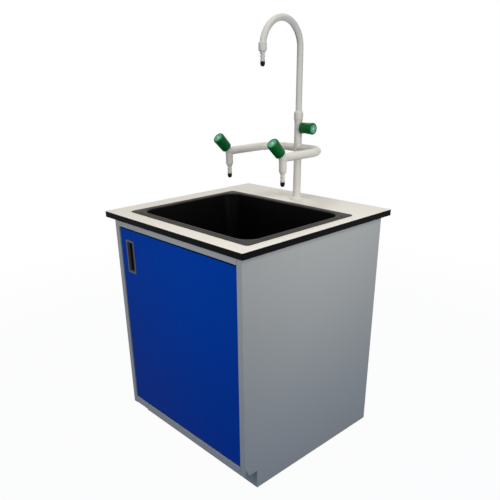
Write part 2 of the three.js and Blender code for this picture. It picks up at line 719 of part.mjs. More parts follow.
// Worktop: a black core with a white face, cut out for the sink and holed for the tap shank.
function worktop() {
  const group = new THREE.Group();
  const size = { width: worktopWidth, depth: worktopDepth };
  const outline = roundedOutline(THREE.Shape, size, WORKTOP_CORNER_RADIUS, origin);
  const cutout = narrowed(outerMouth, -CUTOUT_CLEARANCE);
  outline.holes.push(roundedOutline(THREE.Path, cutout, wallRadius, sinkCentre));
  outline.holes.push(circle(THREE.Path, SHANK_RADIUS + SEAT_CLEARANCE, new THREE.Vector2(0, tapY)));
  const faceBottom = WORKTOP_TOP - DECOR_THICKNESS;
  group.add(piece('worktop_core', plate(outline, worktopUnderside, faceBottom), laminateBlack));
  group.add(piece('worktop_face', plate(outline, faceBottom, WORKTOP_TOP), decorWhite));
  return group;
}

// Sink: flange and lip on the worktop, a bowl that narrows downwards, and a floor that falls to the drain.
function sinkBowl() {
  const lip = narrowed(flange, SINK_BAND_WIDTH);
  const bandOutline = roundedOutline(THREE.Shape, flange, SINK_FLANGE_RADIUS, sinkCentre);
  const lipOutline = roundedOutline(THREE.Shape, lip, SINK_CORNER_RADIUS, sinkCentre);
  const band = plate(bandOutline, flangeBottom, flangeBottom + SINK_BAND_HEIGHT);
  const raisedLip = plate(lipOutline, flangeBottom, rimTop);

  const floor = narrowed(mouth, SINK_DRAFT);
  const outerFloor = narrowed(outerMouth, SINK_DRAFT);
  const recess = WASTE_FLANGE_RADIUS + SEAT_CLEARANCE;
  const drain = { width: 2 * recess, depth: 2 * recess };
  const outerDrain = narrowed(drain, -SINK_WALL);
  const outerBottom = bowlFloor - SINK_WALL;
  const outside = taperedBlock(outerMouth, outerFloor, wallRadius, outerBottom, rimTop);
  const underFloor = taperedBlock(outerFloor, outerDrain, wallRadius, bowlUnderside, outerBottom);
  const inside = taperedBlock(mouth, floor, SINK_CORNER_RADIUS, bowlFloor, rimTop);
  const mouthCut = taperedBlock(mouth, mouth, SINK_CORNER_RADIUS, rimTop, rimTop + OVERCUT);
  const fall = taperedBlock(floor, drain, SINK_CORNER_RADIUS, drainFloor, bowlFloor);
  const overDrain = at(sinkX, sinkY, 0);
  const seat = rod(recess, wasteSeat, drainFloor + OVERCUT, ROUND_SIDES, overDrain);
  const hole = rod(WASTE_TAIL_RADIUS + FIT, bowlUnderside - OVERCUT, drainFloor, ROUND_SIDES, overDrain);
  const shell = union([band, raisedLip, outside, underFloor]);
  const hollow = union([inside, mouthCut, fall, seat, hole]);
  return piece('sink_bowl', shell.subtract(hollow), sinkBlack);
}

function sinkSeal() {
  const outer = narrowed(flange, SINK_SEAL_INSET);
  const inner = narrowed(outer, SINK_SEAL_WIDTH);
  const outerRadius = SINK_CORNER_RADIUS - SINK_SEAL_INSET;
  const outline = roundedOutline(THREE.Shape, outer, outerRadius, sinkCentre);
  outline.holes.push(roundedOutline(THREE.Path, inner, outerRadius, sinkCentre));
  return piece('sink_seal', plate(outline, WORKTOP_TOP, flangeBottom), rubberBlack);
}

// Waste: a flanged tail with a crossed grid at its mouth.
function wasteTail() {
  const bore = WASTE_TAIL_RADIUS - WASTE_TAIL_WALL;
  const flangeTop = wasteSeat + WASTE_FLANGE_THICKNESS;
  const profile = [
    [bore, tailEnd],
    [WASTE_TAIL_RADIUS, tailEnd],
    [WASTE_TAIL_RADIUS, wasteSeat],
    [WASTE_FLANGE_RADIUS, wasteSeat],
    [WASTE_FLANGE_RADIUS, flangeTop],
    [bore, flangeTop],
    [bore, tailEnd],
  ];
  const reach = bore + WASTE_TAIL_WALL / 2;
  const bar = [-WASTE_BAR_WIDTH / 2, WASTE_BAR_WIDTH / 2];
  const height = [wasteSeat, flangeTop];
  const lengthwise = block(bar, [-reach, reach], height);
  const crosswise = block([-reach, reach], bar, height);
  return piece('waste_tail', union([turned(profile), lengthwise, crosswise]), steel);
}

function wasteNut() {
  const bore = WASTE_TAIL_RADIUS + FIT;
  const nut = hexNut(bore + NUT_WALL, bore, bowlUnderside - WASTE_NUT_HEIGHT, bowlUnderside);
  return piece('waste_nut', nut, trapWhite);
}

// Bottle trap sizes: the body takes the tail in its socket and dips a tube into the cup below.
const trap = {
  socketRadius: WASTE_TAIL_RADIUS + FIT,
  neckRadius: WASTE_TAIL_RADIUS + FIT + TRAP_WALL,
  top: tailEnd + TRAP_SOCKET_DEPTH,
};
trap.bottom = trap.top - TRAP_BODY_HEIGHT;
trap.socketFloor = tailEnd - FIT;
trap.shoulder = trap.socketFloor - 2 * TRAP_WALL;
trap.outletZ = trap.shoulder - TRAP_WALL - FIT - OUTLET_RADIUS;

function trapBody() {
  const dipBore = WASTE_TAIL_RADIUS - WASTE_TAIL_WALL;
  const dipRadius = dipBore + TRAP_WALL;
  const dipEnd = trap.bottom - TRAP_DIP_LENGTH;
  const outside = [
    [0, trap.bottom],
    [TRAP_RADIUS, trap.bottom],
    [TRAP_RADIUS, trap.shoulder],
    [trap.neckRadius, trap.socketFloor],
    [trap.neckRadius, trap.top],
    [0, trap.top],
  ];
  const chamber = rod(TRAP_RADIUS - TRAP_WALL, trap.bottom - OVERCUT, trap.shoulder - TRAP_WALL);
  const dip = rod(dipRadius, dipEnd, trap.socketFloor);
  const bore = rod(dipBore, dipEnd - OVERCUT, trap.socketFloor + OVERCUT);
  const socket = rod(trap.socketRadius, trap.socketFloor, trap.top + OVERCUT);
  const outward = at(0, 0, trap.outletZ).multiply(alongY);
  const spigotEnd = TRAP_RADIUS + OUTLET_SOCKET_LENGTH;
  const spigotBore = OUTLET_RADIUS + FIT;
  const chamberWall = TRAP_RADIUS - 2 * TRAP_WALL;
  const spigot = rod(spigotBore + TRAP_WALL, chamberWall, spigotEnd, ROUND_SIDES, outward);
  const spigotHole = rod(spigotBore, dipRadius + FIT, spigotEnd + OVERCUT, ROUND_SIDES, outward);
  const shell = turned(outside).subtract(chamber).add(spigot.subtract(chamber)).add(dip);
  return piece('trap_body', shell.subtract(bore).subtract(socket).subtract(spigotHole), trapWhite);
}

function trapNut() {
  const lipBottom = trap.top + FIT;
  const bottom = lipBottom + TRAP_WALL - TRAP_NUT_HEIGHT;
  const hollow = rod(trap.neckRadius + FIT, bottom - OVERCUT, lipBottom);
  const cornerRadius = trap.neckRadius + FIT + NUT_WALL;
  const nut = hexNut(cornerRadius, trap.socketRadius, bottom, lipBottom + TRAP_WALL);
  const shoulderRoom = turned([
    [0, trap.shoulder - OVERCUT],
    [TRAP_RADIUS + NUT_WALL, trap.shoulder - OVERCUT],
    [TRAP_RADIUS + NUT_WALL, trap.shoulder + FIT],
    [TRAP_RADIUS, trap.shoulder + FIT],
    [trap.neckRadius + FIT, trap.socketFloor + FIT],
    [0, trap.socketFloor + FIT],
  ]);
  return piece('trap_nut', nut.subtract(hollow).subtract(shoulderRoom), trapWhite);
}

function trapCup() {
  const top = trap.bottom + TRAP_CUP_OVERLAP;
  const bottom = top - TRAP_CUP_HEIGHT;
  const inner = TRAP_RADIUS + FIT;
  const outer = inner + TRAP_WALL;
  const profile = [
    [0, bottom],
    [outer - TRAP_WALL, bottom],
    [outer, bottom + TRAP_WALL],
    [outer, top],
    [inner, top],
    [inner, bottom + TRAP_WALL],
    [0, bottom + TRAP_WALL],
  ];
  return piece('trap_cup', turned(profile), trapWhite);
}

function trapOutlet() {
  const start = TRAP_RADIUS;
  const end = worktopBack - OUTLET_END_INSET - sinkY;
  const pipe = ring(OUTLET_RADIUS, OUTLET_RADIUS - OUTLET_WALL, start, end);
  const mesh = piece('trap_outlet', pipe, trapWhite);
  mesh.position.z = trap.outletZ;
  mesh.rotation.x = -Math.PI / 2;
  return mesh;
}

function sink() {
  const group = new THREE.Group();
  group.add(sinkBowl());
  group.add(sinkSeal());
  const underDrain = new THREE.Group();
  underDrain.position.set(sinkX, sinkY, 0);
  underDrain.add(wasteTail());
  underDrain.add(wasteNut());
  underDrain.add(trapNut());
  underDrain.add(trapBody());
  underDrain.add(trapCup());
  underDrain.add(trapOutlet());
  group.add(underDrain);
  return group;
}

// Heights on the tap, measured up from the worktop.
const upperValveHeight = ARM_HEIGHT + UPPER_VALVE_RISE;
const swivelBottom = upperValveHeight + SWIVEL_RISE;
const swivelTop = swivelBottom + SWIVEL_NUT_HEIGHT;
const columnTop = swivelBottom + SWIVEL_NUT_OVERLAP;
const footBottom = columnTop - GOOSENECK_FOOT;
const headworkBore = HEADWORK_RADIUS + FIT;

function tapBase() {
  const bore = COLUMN_RADIUS + FIT;
  const hub = bore + TAP_HUB_WALL;
  const profile = [
    [bore, 0],
    [TAP_BASE_RADIUS, 0],
    [TAP_BASE_RADIUS, TAP_BASE_HEIGHT / 2],
    [TAP_BASE_RADIUS - TAP_BASE_HEIGHT / 2, TAP_BASE_HEIGHT],
    [hub, TAP_BASE_HEIGHT],
    [hub, TAP_HUB_HEIGHT],
    [bore, TAP_HUB_HEIGHT],
    [bore, 0],
  ];
  return piece('tap_base', turned(profile), tapWhite);
}

// Column: shank through the worktop, tee stubs for the arms, neck of the upper valve, gooseneck socket.
function tapColumn() {
  const pillar = turned([
    [0, -SHANK_LENGTH],
    [SHANK_RADIUS, -SHANK_LENGTH],
    [SHANK_RADIUS, 0],
    [COLUMN_RADIUS, 0],
    [COLUMN_RADIUS, columnTop],
    [0, columnTop],
  ]);
  const atArms = at(0, 0, ARM_HEIGHT).multiply(alongX);
  const atValve = at(0, 0, upperValveHeight).multiply(alongX);
  const tee = rod(ARM_RADIUS, -STUB_LENGTH, STUB_LENGTH, TUBE_SIDES, atArms);
  const neck = rod(NECK_RADIUS, 0, NECK_LENGTH, ROUND_SIDES, atValve);
  const inlet = rod(SHANK_BORE, -SHANK_LENGTH - OVERCUT, ARM_HEIGHT, BORE_SIDES);
  const bore = rod(COLUMN_BORE, ARM_HEIGHT, columnTop, BORE_SIDES);
  const socket = rod(GOOSENECK_RADIUS + FIT, footBottom, columnTop + OVERCUT, TUBE_SIDES);
  const teeBore = rod(ARM_BORE, -STUB_LENGTH - OVERCUT, STUB_LENGTH + OVERCUT, BORE_SIDES, atArms);
  const valveBore = rod(headworkBore, 0, NECK_LENGTH + OVERCUT, ROUND_SIDES, atValve);
  const ways = union([inlet, bore, socket, teeBore, valveBore]);
  return piece('tap_column', union([pillar, tee, neck]).subtract(ways), tapWhite);
}

function shankFixings() {
  const group = new THREE.Group();
  const washerBottom = -WORKTOP_THICKNESS - SHANK_WASHER_THICKNESS;
  const bore = SHANK_RADIUS + FIT;
  const washer = ring(SHANK_WASHER_RADIUS, bore, washerBottom, -WORKTOP_THICKNESS);
  const nut = hexNut(bore + NUT_WALL, bore, washerBottom - SHANK_NUT_HEIGHT, washerBottom);
  group.add(piece('shank_washer', washer, steel));
  group.add(piece('shank_nut', nut, brass));
  return group;
}

// Arm: out from the tee along X, round one bend, and forward to the outlet valve.
function tapArm(name, side) {
  const path = new BentLine({
    start: new THREE.Vector3(side * STUB_LENGTH, 0, ARM_HEIGHT),
    forward: new THREE.Vector3(side, 0, 0),
    sideways: new THREE.Vector3(0, -1, 0),
    firstRun: ARM_SPREAD - ARM_BEND_RADIUS - STUB_LENGTH,
    bendRadius: ARM_BEND_RADIUS,
    bendAngle: Math.PI / 2,
    lastRun: ARM_REACH - ARM_BEND_RADIUS - STUB_LENGTH,
  });
  return piece(name, bentTube(path, ARM_RADIUS, ARM_BORE), tapWhite);
}

// Outlet valve body: a barrel with a tapered foot, a stub for the arm and a tilted neck for the headwork.
function outletValve(name) {
  const tilt = new THREE.Matrix4().makeRotationX(FRONT_KNOB_TILT);
  const barrel = turned([
    [0, -VALVE_DROP],
    [VALVE_END_RADIUS, -VALVE_DROP],
    [VALVE_BODY_RADIUS, VALVE_TAPER - VALVE_DROP],
    [VALVE_BODY_RADIUS, 0],
    [0, 0],
  ]);
  const joint = toSolid(new THREE.SphereGeometry(VALVE_JOINT_RADIUS, TUBE_SIDES, TUBE_SIDES / 2));
  const stub = rod(ARM_RADIUS, 0, STUB_LENGTH, TUBE_SIDES, alongY);
  const neck = rod(NECK_RADIUS, 0, NECK_LENGTH, ROUND_SIDES, tilt);
  const stubBore = rod(ARM_BORE, 0, STUB_LENGTH + OVERCUT, BORE_SIDES, alongY);
  const neckBore = rod(headworkBore, 0, NECK_LENGTH + OVERCUT, ROUND_SIDES, tilt);
  const outlet = rod(NOZZLE_INSERT_RADIUS + FIT, -VALVE_DROP - OVERCUT, 0);
  const body = union([barrel, joint, stub, neck]).subtract(union([stubBore, neckBore, outlet]));
  return piece(name, body, tapWhite);
}

// The working pieces of a valve, along the local Z axis from the valve's centre.
function valveWorks(place) {
  const group = new THREE.Group();
  const hexBottom = NECK_LENGTH + FIT;
  const hexTop = hexBottom + HEADWORK_HEX_HEIGHT;
  const barrel = rod(HEADWORK_RADIUS, HEADWORK_START, hexBottom);
  const hex = rod(HEADWORK_HEX_RADIUS, hexBottom, hexTop, HEX_SIDES);
  const spindleHole = rod(SPINDLE_RADIUS + FIT, HEADWORK_START - OVERCUT, hexTop + OVERCUT);
  group.add(piece(`headwork_${place}`, barrel.add(hex).subtract(spindleHole), brass));

  const spindleEnd = SPINDLE_START + SPINDLE_LENGTH;
  group.add(piece(`spindle_${place}`, rod(SPINDLE_RADIUS, SPINDLE_START, spindleEnd), brass));

  const base = NECK_LENGTH + KNOB_GAP;
  const end = base + KNOB_LENGTH;
  const hollowEnd = base + KNOB_HOLLOW_DEPTH;
  const capSeat = end - CAP_THICKNESS;
  const knob = turned([
    [0, base],
    [KNOB_BASE_RADIUS - KNOB_EDGE / 2, base],
    [KNOB_BASE_RADIUS, base + KNOB_EDGE / 2],
    [KNOB_END_RADIUS, end - KNOB_EDGE],
    [KNOB_END_RADIUS - KNOB_EDGE / 3, end - KNOB_EDGE / 3],
    [KNOB_END_RADIUS - KNOB_EDGE, end],
    [0, end],
  ]);
  const hollow = rod(KNOB_HOLLOW_RADIUS, base - OVERCUT, hollowEnd);
  const hubHole = rod(SPINDLE_RADIUS + FIT, hollowEnd - OVERCUT, spindleEnd + FIT);
  const capRecess = rod(CAP_RADIUS + FIT, capSeat, end + OVERCUT);
  const knobCuts = union([hollow, hubHole]);
  group.add(piece(`knob_${place}`, knob.subtract(knobCuts).subtract(capRecess), knobGreen));
  const capProfile = [[0, capSeat + FIT], [CAP_RADIUS, capSeat + FIT], [CAP_RADIUS, end], [0, end + FIT]];
  group.add(piece(`index_cap_${place}`, turned(capProfile), capBlue));
  return group;
}

// Nozzle and tip below an outlet face at height 0: an insert, a collar, serrations and a spigot.
function nozzleAndTip(place) {
  const group = new THREE.Group();
  const profile = [
    [NOZZLE_BORE, NOZZLE_INSERT_LENGTH],
    [NOZZLE_INSERT_RADIUS, NOZZLE_INSERT_LENGTH],
    [NOZZLE_INSERT_RADIUS, 0],
    [NOZZLE_COLLAR_RADIUS, 0],
    [NOZZLE_COLLAR_RADIUS, -NOZZLE_COLLAR_HEIGHT],
  ];
  const ribPitch = (NOZZLE_LENGTH - NOZZLE_COLLAR_HEIGHT) / NOZZLE_RIBS;
  for (let rib = 0; rib < NOZZLE_RIBS; rib += 1) {
    const ribTop = -NOZZLE_COLLAR_HEIGHT - rib * ribPitch;
    profile.push([NOZZLE_ROOT_RADIUS, ribTop]);
    profile.push([NOZZLE_ROOT_RADIUS, ribTop - NOZZLE_GROOVE]);
    profile.push([NOZZLE_RIB_RADIUS, ribTop - NOZZLE_GROOVE]);
    profile.push([NOZZLE_RIB_RADIUS, ribTop - ribPitch]);
  }
  profile.push([SPIGOT_RADIUS, -NOZZLE_LENGTH]);
  profile.push([SPIGOT_RADIUS, -NOZZLE_LENGTH - SPIGOT_LENGTH]);
  profile.push([NOZZLE_BORE, -NOZZLE_LENGTH - SPIGOT_LENGTH]);
  profile.push([NOZZLE_BORE, NOZZLE_INSERT_LENGTH]);
  group.add(piece(`nozzle_${place}`, turned(profile, NOZZLE_SIDES), tapWhite));

  const tipTop = -NOZZLE_LENGTH - FIT;
  const tipEnd = tipTop - TIP_LENGTH;
  const round = TIP_RADIUS / 2;
  const spigotRoom = SPIGOT_RADIUS + FIT;
  const roomEnd = -NOZZLE_LENGTH - SPIGOT_LENGTH - FIT;
  const tip = turned([
    [spigotRoom, tipTop],
    [TIP_RADIUS, tipTop],
    [TIP_RADIUS, tipEnd + TIP_RADIUS],
    [TIP_RADIUS - round / 3, tipEnd + round],
    [round, tipEnd],
    [TIP_BORE, tipEnd],
    [TIP_BORE, roomEnd],
    [spigotRoom, roomEnd],
    [spigotRoom, tipTop],
  ], NOZZLE_SIDES);
  group.add(piece(`nozzle_tip_${place}`, tip, rubberBlack));
  return group;
}

// Swivel nut: its lower bore screws over the column, its upper lip holds the gooseneck's foot.
function swivelNut() {
  const outer = COLUMN_RADIUS + FIT + SWIVEL_NUT_WALL;
  const profile = [
    [COLUMN_RADIUS + FIT, swivelBottom],
    [outer - SWIVEL_NUT_WALL / 2, swivelBottom],
    [outer, swivelBottom + SWIVEL_NUT_WALL],
    [outer, swivelTop - SWIVEL_NUT_SHOULDER],
    [GOOSENECK_RADIUS + FIT + SWIVEL_NUT_WALL / 2, swivelTop],
    [GOOSENECK_RADIUS + FIT, swivelTop],
    [GOOSENECK_RADIUS + FIT, columnTop + FIT],
    [COLUMN_RADIUS + FIT, columnTop + FIT],
    [COLUMN_RADIUS + FIT, swivelBottom],
  ];
  return piece('swivel_nut', turned(profile), tapWhite);
}

// The gooseneck's centre line, seen from a given place on the tap, with a given leg after the bend.
function gooseneckLine(place, leg) {
  const start = footBottom + FIT;
  return new BentLine({
    start: new THREE.Vector3(0, 0, start).sub(place),
    forward: new THREE.Vector3(0, 0, 1),
    sideways: new THREE.Vector3(0, -1, 0),
    firstRun: swivelTop + GOOSENECK_STRAIGHT - start,
    bendRadius: GOOSENECK_BEND_RADIUS,
    bendAngle: Math.PI,
    lastRun: leg,
  });
}

// Gooseneck: up from the column, over a half circle towards the front, and down to its collar.
function gooseneck() {
  const group = new THREE.Group();
  const line = gooseneckLine(new THREE.Vector3(), GOOSENECK_LEG);
  group.add(piece('gooseneck', bentTube(line, GOOSENECK_RADIUS, GOOSENECK_BORE), tapWhite));

  const outlet = new THREE.Group();
  const tubeEnd = swivelTop + GOOSENECK_STRAIGHT - GOOSENECK_LEG;
  outlet.position.set(0, -2 * GOOSENECK_BEND_RADIUS, tubeEnd - OUTLET_COLLAR_FLOOR);
  const collar = turned([
    [0, 0],
    [OUTLET_COLLAR_RADIUS - OUTLET_COLLAR_TAPER, 0],
    [OUTLET_COLLAR_RADIUS, OUTLET_COLLAR_TAPER],
    [OUTLET_COLLAR_RADIUS, OUTLET_COLLAR_HEIGHT],
    [0, OUTLET_COLLAR_HEIGHT],
  ]);
  const roomLine = gooseneckLine(outlet.position, GOOSENECK_LEG + FIT);
  const tubeRoom = sweep(roomLine, GOOSENECK_RADIUS + FIT, TUBE_SIDES);
  const nozzleRoom = rod(NOZZLE_INSERT_RADIUS + FIT, -OVERCUT, OUTLET_COLLAR_FLOOR);
  outlet.add(piece('outlet_collar', collar.subtract(tubeRoom.add(nozzleRoom)), tapWhite));
  outlet.add(nozzleAndTip('neck'));
  group.add(outlet);
  return group;
}

function tap() {
  const group = new THREE.Group();
  group.add(tapBase());
  group.add(tapColumn());
  group.add(shankFixings());
  group.add(swivelNut());
  group.add(gooseneck());
  for (const [place, side] of [['left', -1], ['right', 1]]) {
    group.add(tapArm(`tap_arm_${place}`, side));
    const valve = new THREE.Group();
    valve.position.set(side * ARM_SPREAD, -ARM_REACH, ARM_HEIGHT);
    valve.add(outletValve(`outlet_valve_${place}`));
    const works = valveWorks(place);
    works.rotation.x = FRONT_KNOB_TILT;
    valve.add(works);
    const outlet = nozzleAndTip(place);
    outlet.position.z = -VALVE_DROP;
    valve.add(outlet);
    group.add(valve);
  }
  const upperWorks = valveWorks('upper');
  upperWorks.position.z = upperValveHeight;
  upperWorks.rotation.y = SIDE_KNOB_TILT;
  group.add(upperWorks);
  group.position.set(0, tapY, WORKTOP_TOP);
  return group;
}

const sinkUnit = new THREE.Group();
sinkUnit.name = 'laboratory_sink_unit';
sinkUnit.add(cabinet());
sinkUnit.add(door());
sinkUnit.add(worktop());
sinkUnit.add(sink());
sinkUnit.add(tap());

export default sinkUnit;
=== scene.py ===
# %% [markdown]
# # Dressing a laboratory sink unit
#
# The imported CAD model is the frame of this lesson. Every node already sits in its place, in metres, so
# each piece made here goes where its node is. The CAD box is measured first, because the dressed unit
# has to keep the same size.

import json
import math

import bmesh
import bpy
from mathutils import Matrix, Vector


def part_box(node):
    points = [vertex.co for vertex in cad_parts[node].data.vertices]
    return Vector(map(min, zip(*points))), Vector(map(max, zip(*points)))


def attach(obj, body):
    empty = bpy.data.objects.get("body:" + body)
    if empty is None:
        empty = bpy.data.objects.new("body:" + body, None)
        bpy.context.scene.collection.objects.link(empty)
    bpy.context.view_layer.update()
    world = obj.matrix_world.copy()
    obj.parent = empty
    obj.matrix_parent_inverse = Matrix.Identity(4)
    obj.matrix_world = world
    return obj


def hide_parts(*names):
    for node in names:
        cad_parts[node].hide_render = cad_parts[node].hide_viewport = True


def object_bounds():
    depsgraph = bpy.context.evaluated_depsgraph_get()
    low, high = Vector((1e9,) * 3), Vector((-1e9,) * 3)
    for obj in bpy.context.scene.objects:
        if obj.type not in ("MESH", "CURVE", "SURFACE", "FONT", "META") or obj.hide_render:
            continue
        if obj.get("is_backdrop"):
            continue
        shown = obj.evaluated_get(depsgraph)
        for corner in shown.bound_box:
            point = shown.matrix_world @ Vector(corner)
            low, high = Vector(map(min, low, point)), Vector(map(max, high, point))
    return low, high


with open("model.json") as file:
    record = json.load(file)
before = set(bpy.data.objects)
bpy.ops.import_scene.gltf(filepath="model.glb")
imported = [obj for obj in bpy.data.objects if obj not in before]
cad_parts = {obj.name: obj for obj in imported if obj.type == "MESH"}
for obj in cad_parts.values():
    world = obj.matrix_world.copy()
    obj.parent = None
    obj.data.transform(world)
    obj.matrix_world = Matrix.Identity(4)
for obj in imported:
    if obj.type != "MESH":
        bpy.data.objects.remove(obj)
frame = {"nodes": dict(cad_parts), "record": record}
cad_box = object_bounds()
record = frame["record"]
MM = 0.001

# %% [markdown]
# ## Camera
#
# The photograph was taken from the front right, above the worktop, and then cropped, so its middle
# isn't where the lens pointed. Turning the camera would change how the upright edges lean. A lens shift
# moves the frame instead, and leaves the lines as they are.

# %% Camera at the photograph's place
CAMERA_PLACE = (1.4019, -1.3113, 1.3017)
CAMERA_TURN = [math.radians(angle) for angle in (65.942, 1.107, 47.701)]
CAMERA_LENS = 40.19
CAMERA_SHIFT = (0.0282, 0.1339)

bpy.ops.object.select_all(action="DESELECT")
bpy.ops.object.camera_add(location=CAMERA_PLACE, rotation=CAMERA_TURN)
camera = bpy.context.object
camera.name = "photo_camera"
camera.data.lens = CAMERA_LENS
camera.data.shift_x, camera.data.shift_y = CAMERA_SHIFT
bpy.context.scene.camera = camera
bpy.context.scene.view_settings.view_transform = "Standard"
print("camera", [round(value, 3) for value in camera.location], "lens", round(camera.data.lens, 1))

# %% [markdown]
# ## Nodes written as sums
#
# A finish is a small network of nodes. Wiring each sum by hand is slow to read, so one class stands for
# an output socket, and adding or multiplying two of them adds the Math node. Every other node comes
# from one method, which takes the node's type, its settings and what goes into its sockets.

# %% A socket class and a node method
class Socket:
    """An output of a node. Arithmetic on it adds Math nodes."""

    def __init__(self, web, output):
        self.web = web
        self.output = output

    def __add__(self, other):
        return self.web.maths("ADD", self, other)

    def __radd__(self, other):
        return self.web.maths("ADD", other, self)

    def __sub__(self, other):
        return self.web.maths("SUBTRACT", self, other)

    def __rsub__(self, other):
        return self.web.maths("SUBTRACT", other, self)

    def __mul__(self, other):
        return self.web.maths("MULTIPLY", self, other)

    def __rmul__(self, other):
        return self.web.maths("MULTIPLY", other, self)


class Web:
    """The nodes of a material or of the world."""

    def __init__(self, owner):
        owner.use_nodes = True
        self.nodes = owner.node_tree.nodes
        self.links = owner.node_tree.links

    def feed(self, socket, value):
        if isinstance(value, Socket):
            self.links.new(value.output, socket)
        else:
            socket.default_value = value

    def node(self, kind, settings=None, sockets=None, output=0):
        added = self.nodes.new(kind)
        for setting, value in (settings or {}).items():
            setattr(added, setting, value)
        for socket, value in (sockets or {}).items():
            self.feed(added.inputs[socket], value)
        return Socket(self, added.outputs[output])

    def maths(self, operation, first, second):
        return self.node("ShaderNodeMath", {"operation": operation}, {0: first, 1: second})

    def mix(self, share, first, second):
        return self.node("ShaderNodeMix", {"data_type": "RGBA"}, {0: share, 6: first, 7: second}, 2)


print("socket operators: + - *")

# %% [markdown]
# ## Studio
#
# The unit stands in front of plain white. The world is white to the camera and in reflections, and
# dimmer as a lamp, so that the background doesn't flood the object with light. The floor does the same
# and fades into the world at its rim, but near the unit a small share of it stays plain diffuse, which
# keeps the shadow under the cabinet. Light that bounces off the floor is bluish, as it is low on the
# cabinet in the photograph. Most of the light comes from a softbox above and one on the right. The
# three fills keep the front, the back and the left from going dark.

# %% World, floor and softboxes
AMBIENT = 0.1
WHITE = (1.0, 1.0, 1.0, 1.0)
WARM_LIGHT = (1.0, 0.985, 0.955)
FLOOR_RADIUS = 5.0
FLOOR_SIDES = 64
FLOOR_DROP = 0.2 * MM
FLOOR_TONE = (0.01, 0.18, 0.52, 1.0)
FLOOR_WHITE = 0.97
FADE_START = 1.2
FADE_END = 3.0


def seen_directly(web):
    """1 for rays from the camera, mirrors and glass, and 0 for light that bounces about."""
    rays = [web.node("ShaderNodeLightPath", output=name) for name in (
        "Is Camera Ray", "Is Glossy Ray", "Is Transmission Ray")]
    return web.node("ShaderNodeClamp", None, {"Value": rays[0] + rays[1] + rays[2]})


world = bpy.data.worlds.new("white_studio")
bpy.context.scene.world = world
studio = Web(world)
background = studio.nodes["Background"]
background.inputs["Color"].default_value = WHITE
studio.feed(background.inputs["Strength"], AMBIENT + (1.0 - AMBIENT) * seen_directly(studio))

floor_material = bpy.data.materials.new("pale_floor")
# Only rays that see the floor directly meet its glow, so looking for light there would only add noise.
floor_material.cycles.emission_sampling = "NONE"
floor = Web(floor_material)
floor.nodes.remove(floor.nodes["Principled BSDF"])
spot = floor.node("ShaderNodeTexCoord", output="Object")
reach = floor.node("ShaderNodeVectorMath", {"operation": "LENGTH"}, {0: spot}, "Value")
rim = floor.node("ShaderNodeMapRange", {"interpolation_type": "SMOOTHSTEP"}, {
    "Value": reach, "From Min": FADE_START, "From Max": FADE_END, "To Min": FLOOR_WHITE, "To Max": 1.0})
white_share = rim * seen_directly(floor)
plain = floor.node("ShaderNodeBsdfDiffuse", None, {"Color": FLOOR_TONE})
glow = floor.node("ShaderNodeEmission", None, {"Color": WHITE, "Strength": 1.0})
both = floor.node("ShaderNodeMixShader", None, {0: white_share, 1: plain, 2: glow})
floor.feed(floor.nodes["Material Output"].inputs["Surface"], both)

bpy.ops.object.select_all(action="DESELECT")
bpy.ops.mesh.primitive_circle_add(
    vertices=FLOOR_SIDES, radius=FLOOR_RADIUS, fill_type="NGON", location=(0, 0, -FLOOR_DROP))
studio_floor = bpy.context.object
studio_floor.name = "studio_floor"
studio_floor.data.materials.append(floor_material)
studio_floor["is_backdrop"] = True


def softbox(name, place, target, size, power):
    """A round lamp of a size in metres and a power in watts, aimed at a point."""
    bpy.ops.object.light_add(type="AREA", location=place)
    lamp = bpy.context.object
    lamp.name = name
    lamp.data.shape = "DISK"
    lamp.data.size = size
    lamp.data.energy = power
    lamp.data.color = WARM_LIGHT
    aim = Vector(target) - Vector(place)
    lamp.rotation_euler = aim.to_track_quat("-Z", "Y").to_euler()


softbox("overhead_softbox", place=(0.0, -0.4, 3.2), target=(0.0, 0.0, 0.8), size=1.3, power=28)
softbox("right_softbox", place=(1.25, 0.05, 1.2), target=(0.3, 0.0, 0.75), size=0.9, power=10.2)
softbox("front_fill", place=(0.12, -1.15, 1.0), target=(0.0, -0.3, 0.65), size=0.9, power=4.9)
softbox("rear_fill", place=(-1.6, 1.6, 3.0), target=(0.0, 0.0, 0.7), size=1.6, power=19)
softbox("back_left_fill", place=(-1.15, 1.2, 0.45), target=(-0.1, 0.1, 0.5), size=0.7, power=8.5)

# %% [markdown]
# ## Finishes
#
# Each slot of the record gets one finish, with patterns on Object coordinates, so that their scale is
# in real metres. Heights for the bump are in metres too: orange peel on paint is a few hundredths of a
# millimetre deep, and a sheet of steel is out of flat by some tenths. Colours are written as they look
# on a screen, from 0 to 255, and turned into the linear light that a shader works in.

# %% Tools for finishes
FINISHES = {}
EVEN = (1.0, 1.0, 1.0)


def colour(red, green, blue, lighter=1.0):
    """A colour as it looks on a screen, in linear light and made lighter by a factor."""
    linear = []
    for value in (red, green, blue):
        share = value / 255
        light = share / 12.92 if share <= 0.04045 else ((share + 0.055) / 1.055) ** 2.4
        linear.append(min(light * lighter, 1.0))
    return (*linear, 1.0)


def start_finish(slot, **constants):
    """A new material whose fixed values sit on the shader's own sockets."""
    material = bpy.data.materials.new(slot)
    web = Web(material)
    web.shader = web.nodes["Principled BSDF"]
    for socket, value in constants.items():
        web.shader.inputs[socket.replace("_", " ")].default_value = value
    web.place = web.node("ShaderNodeTexCoord", output="Object")
    FINISHES[slot] = material
    return web


def grain(web, scale, detail=2.0, stretch=EVEN):
    """Noise from 0 to 1, with about this many lumps to the metre, times the stretch along each axis."""
    place = web.place
    if stretch != EVEN:
        place = web.node("ShaderNodeMapping", None, {"Vector": web.place, "Scale": stretch})
    return web.node("ShaderNodeTexNoise", None, {"Vector": place, "Scale": scale, "Detail": detail})


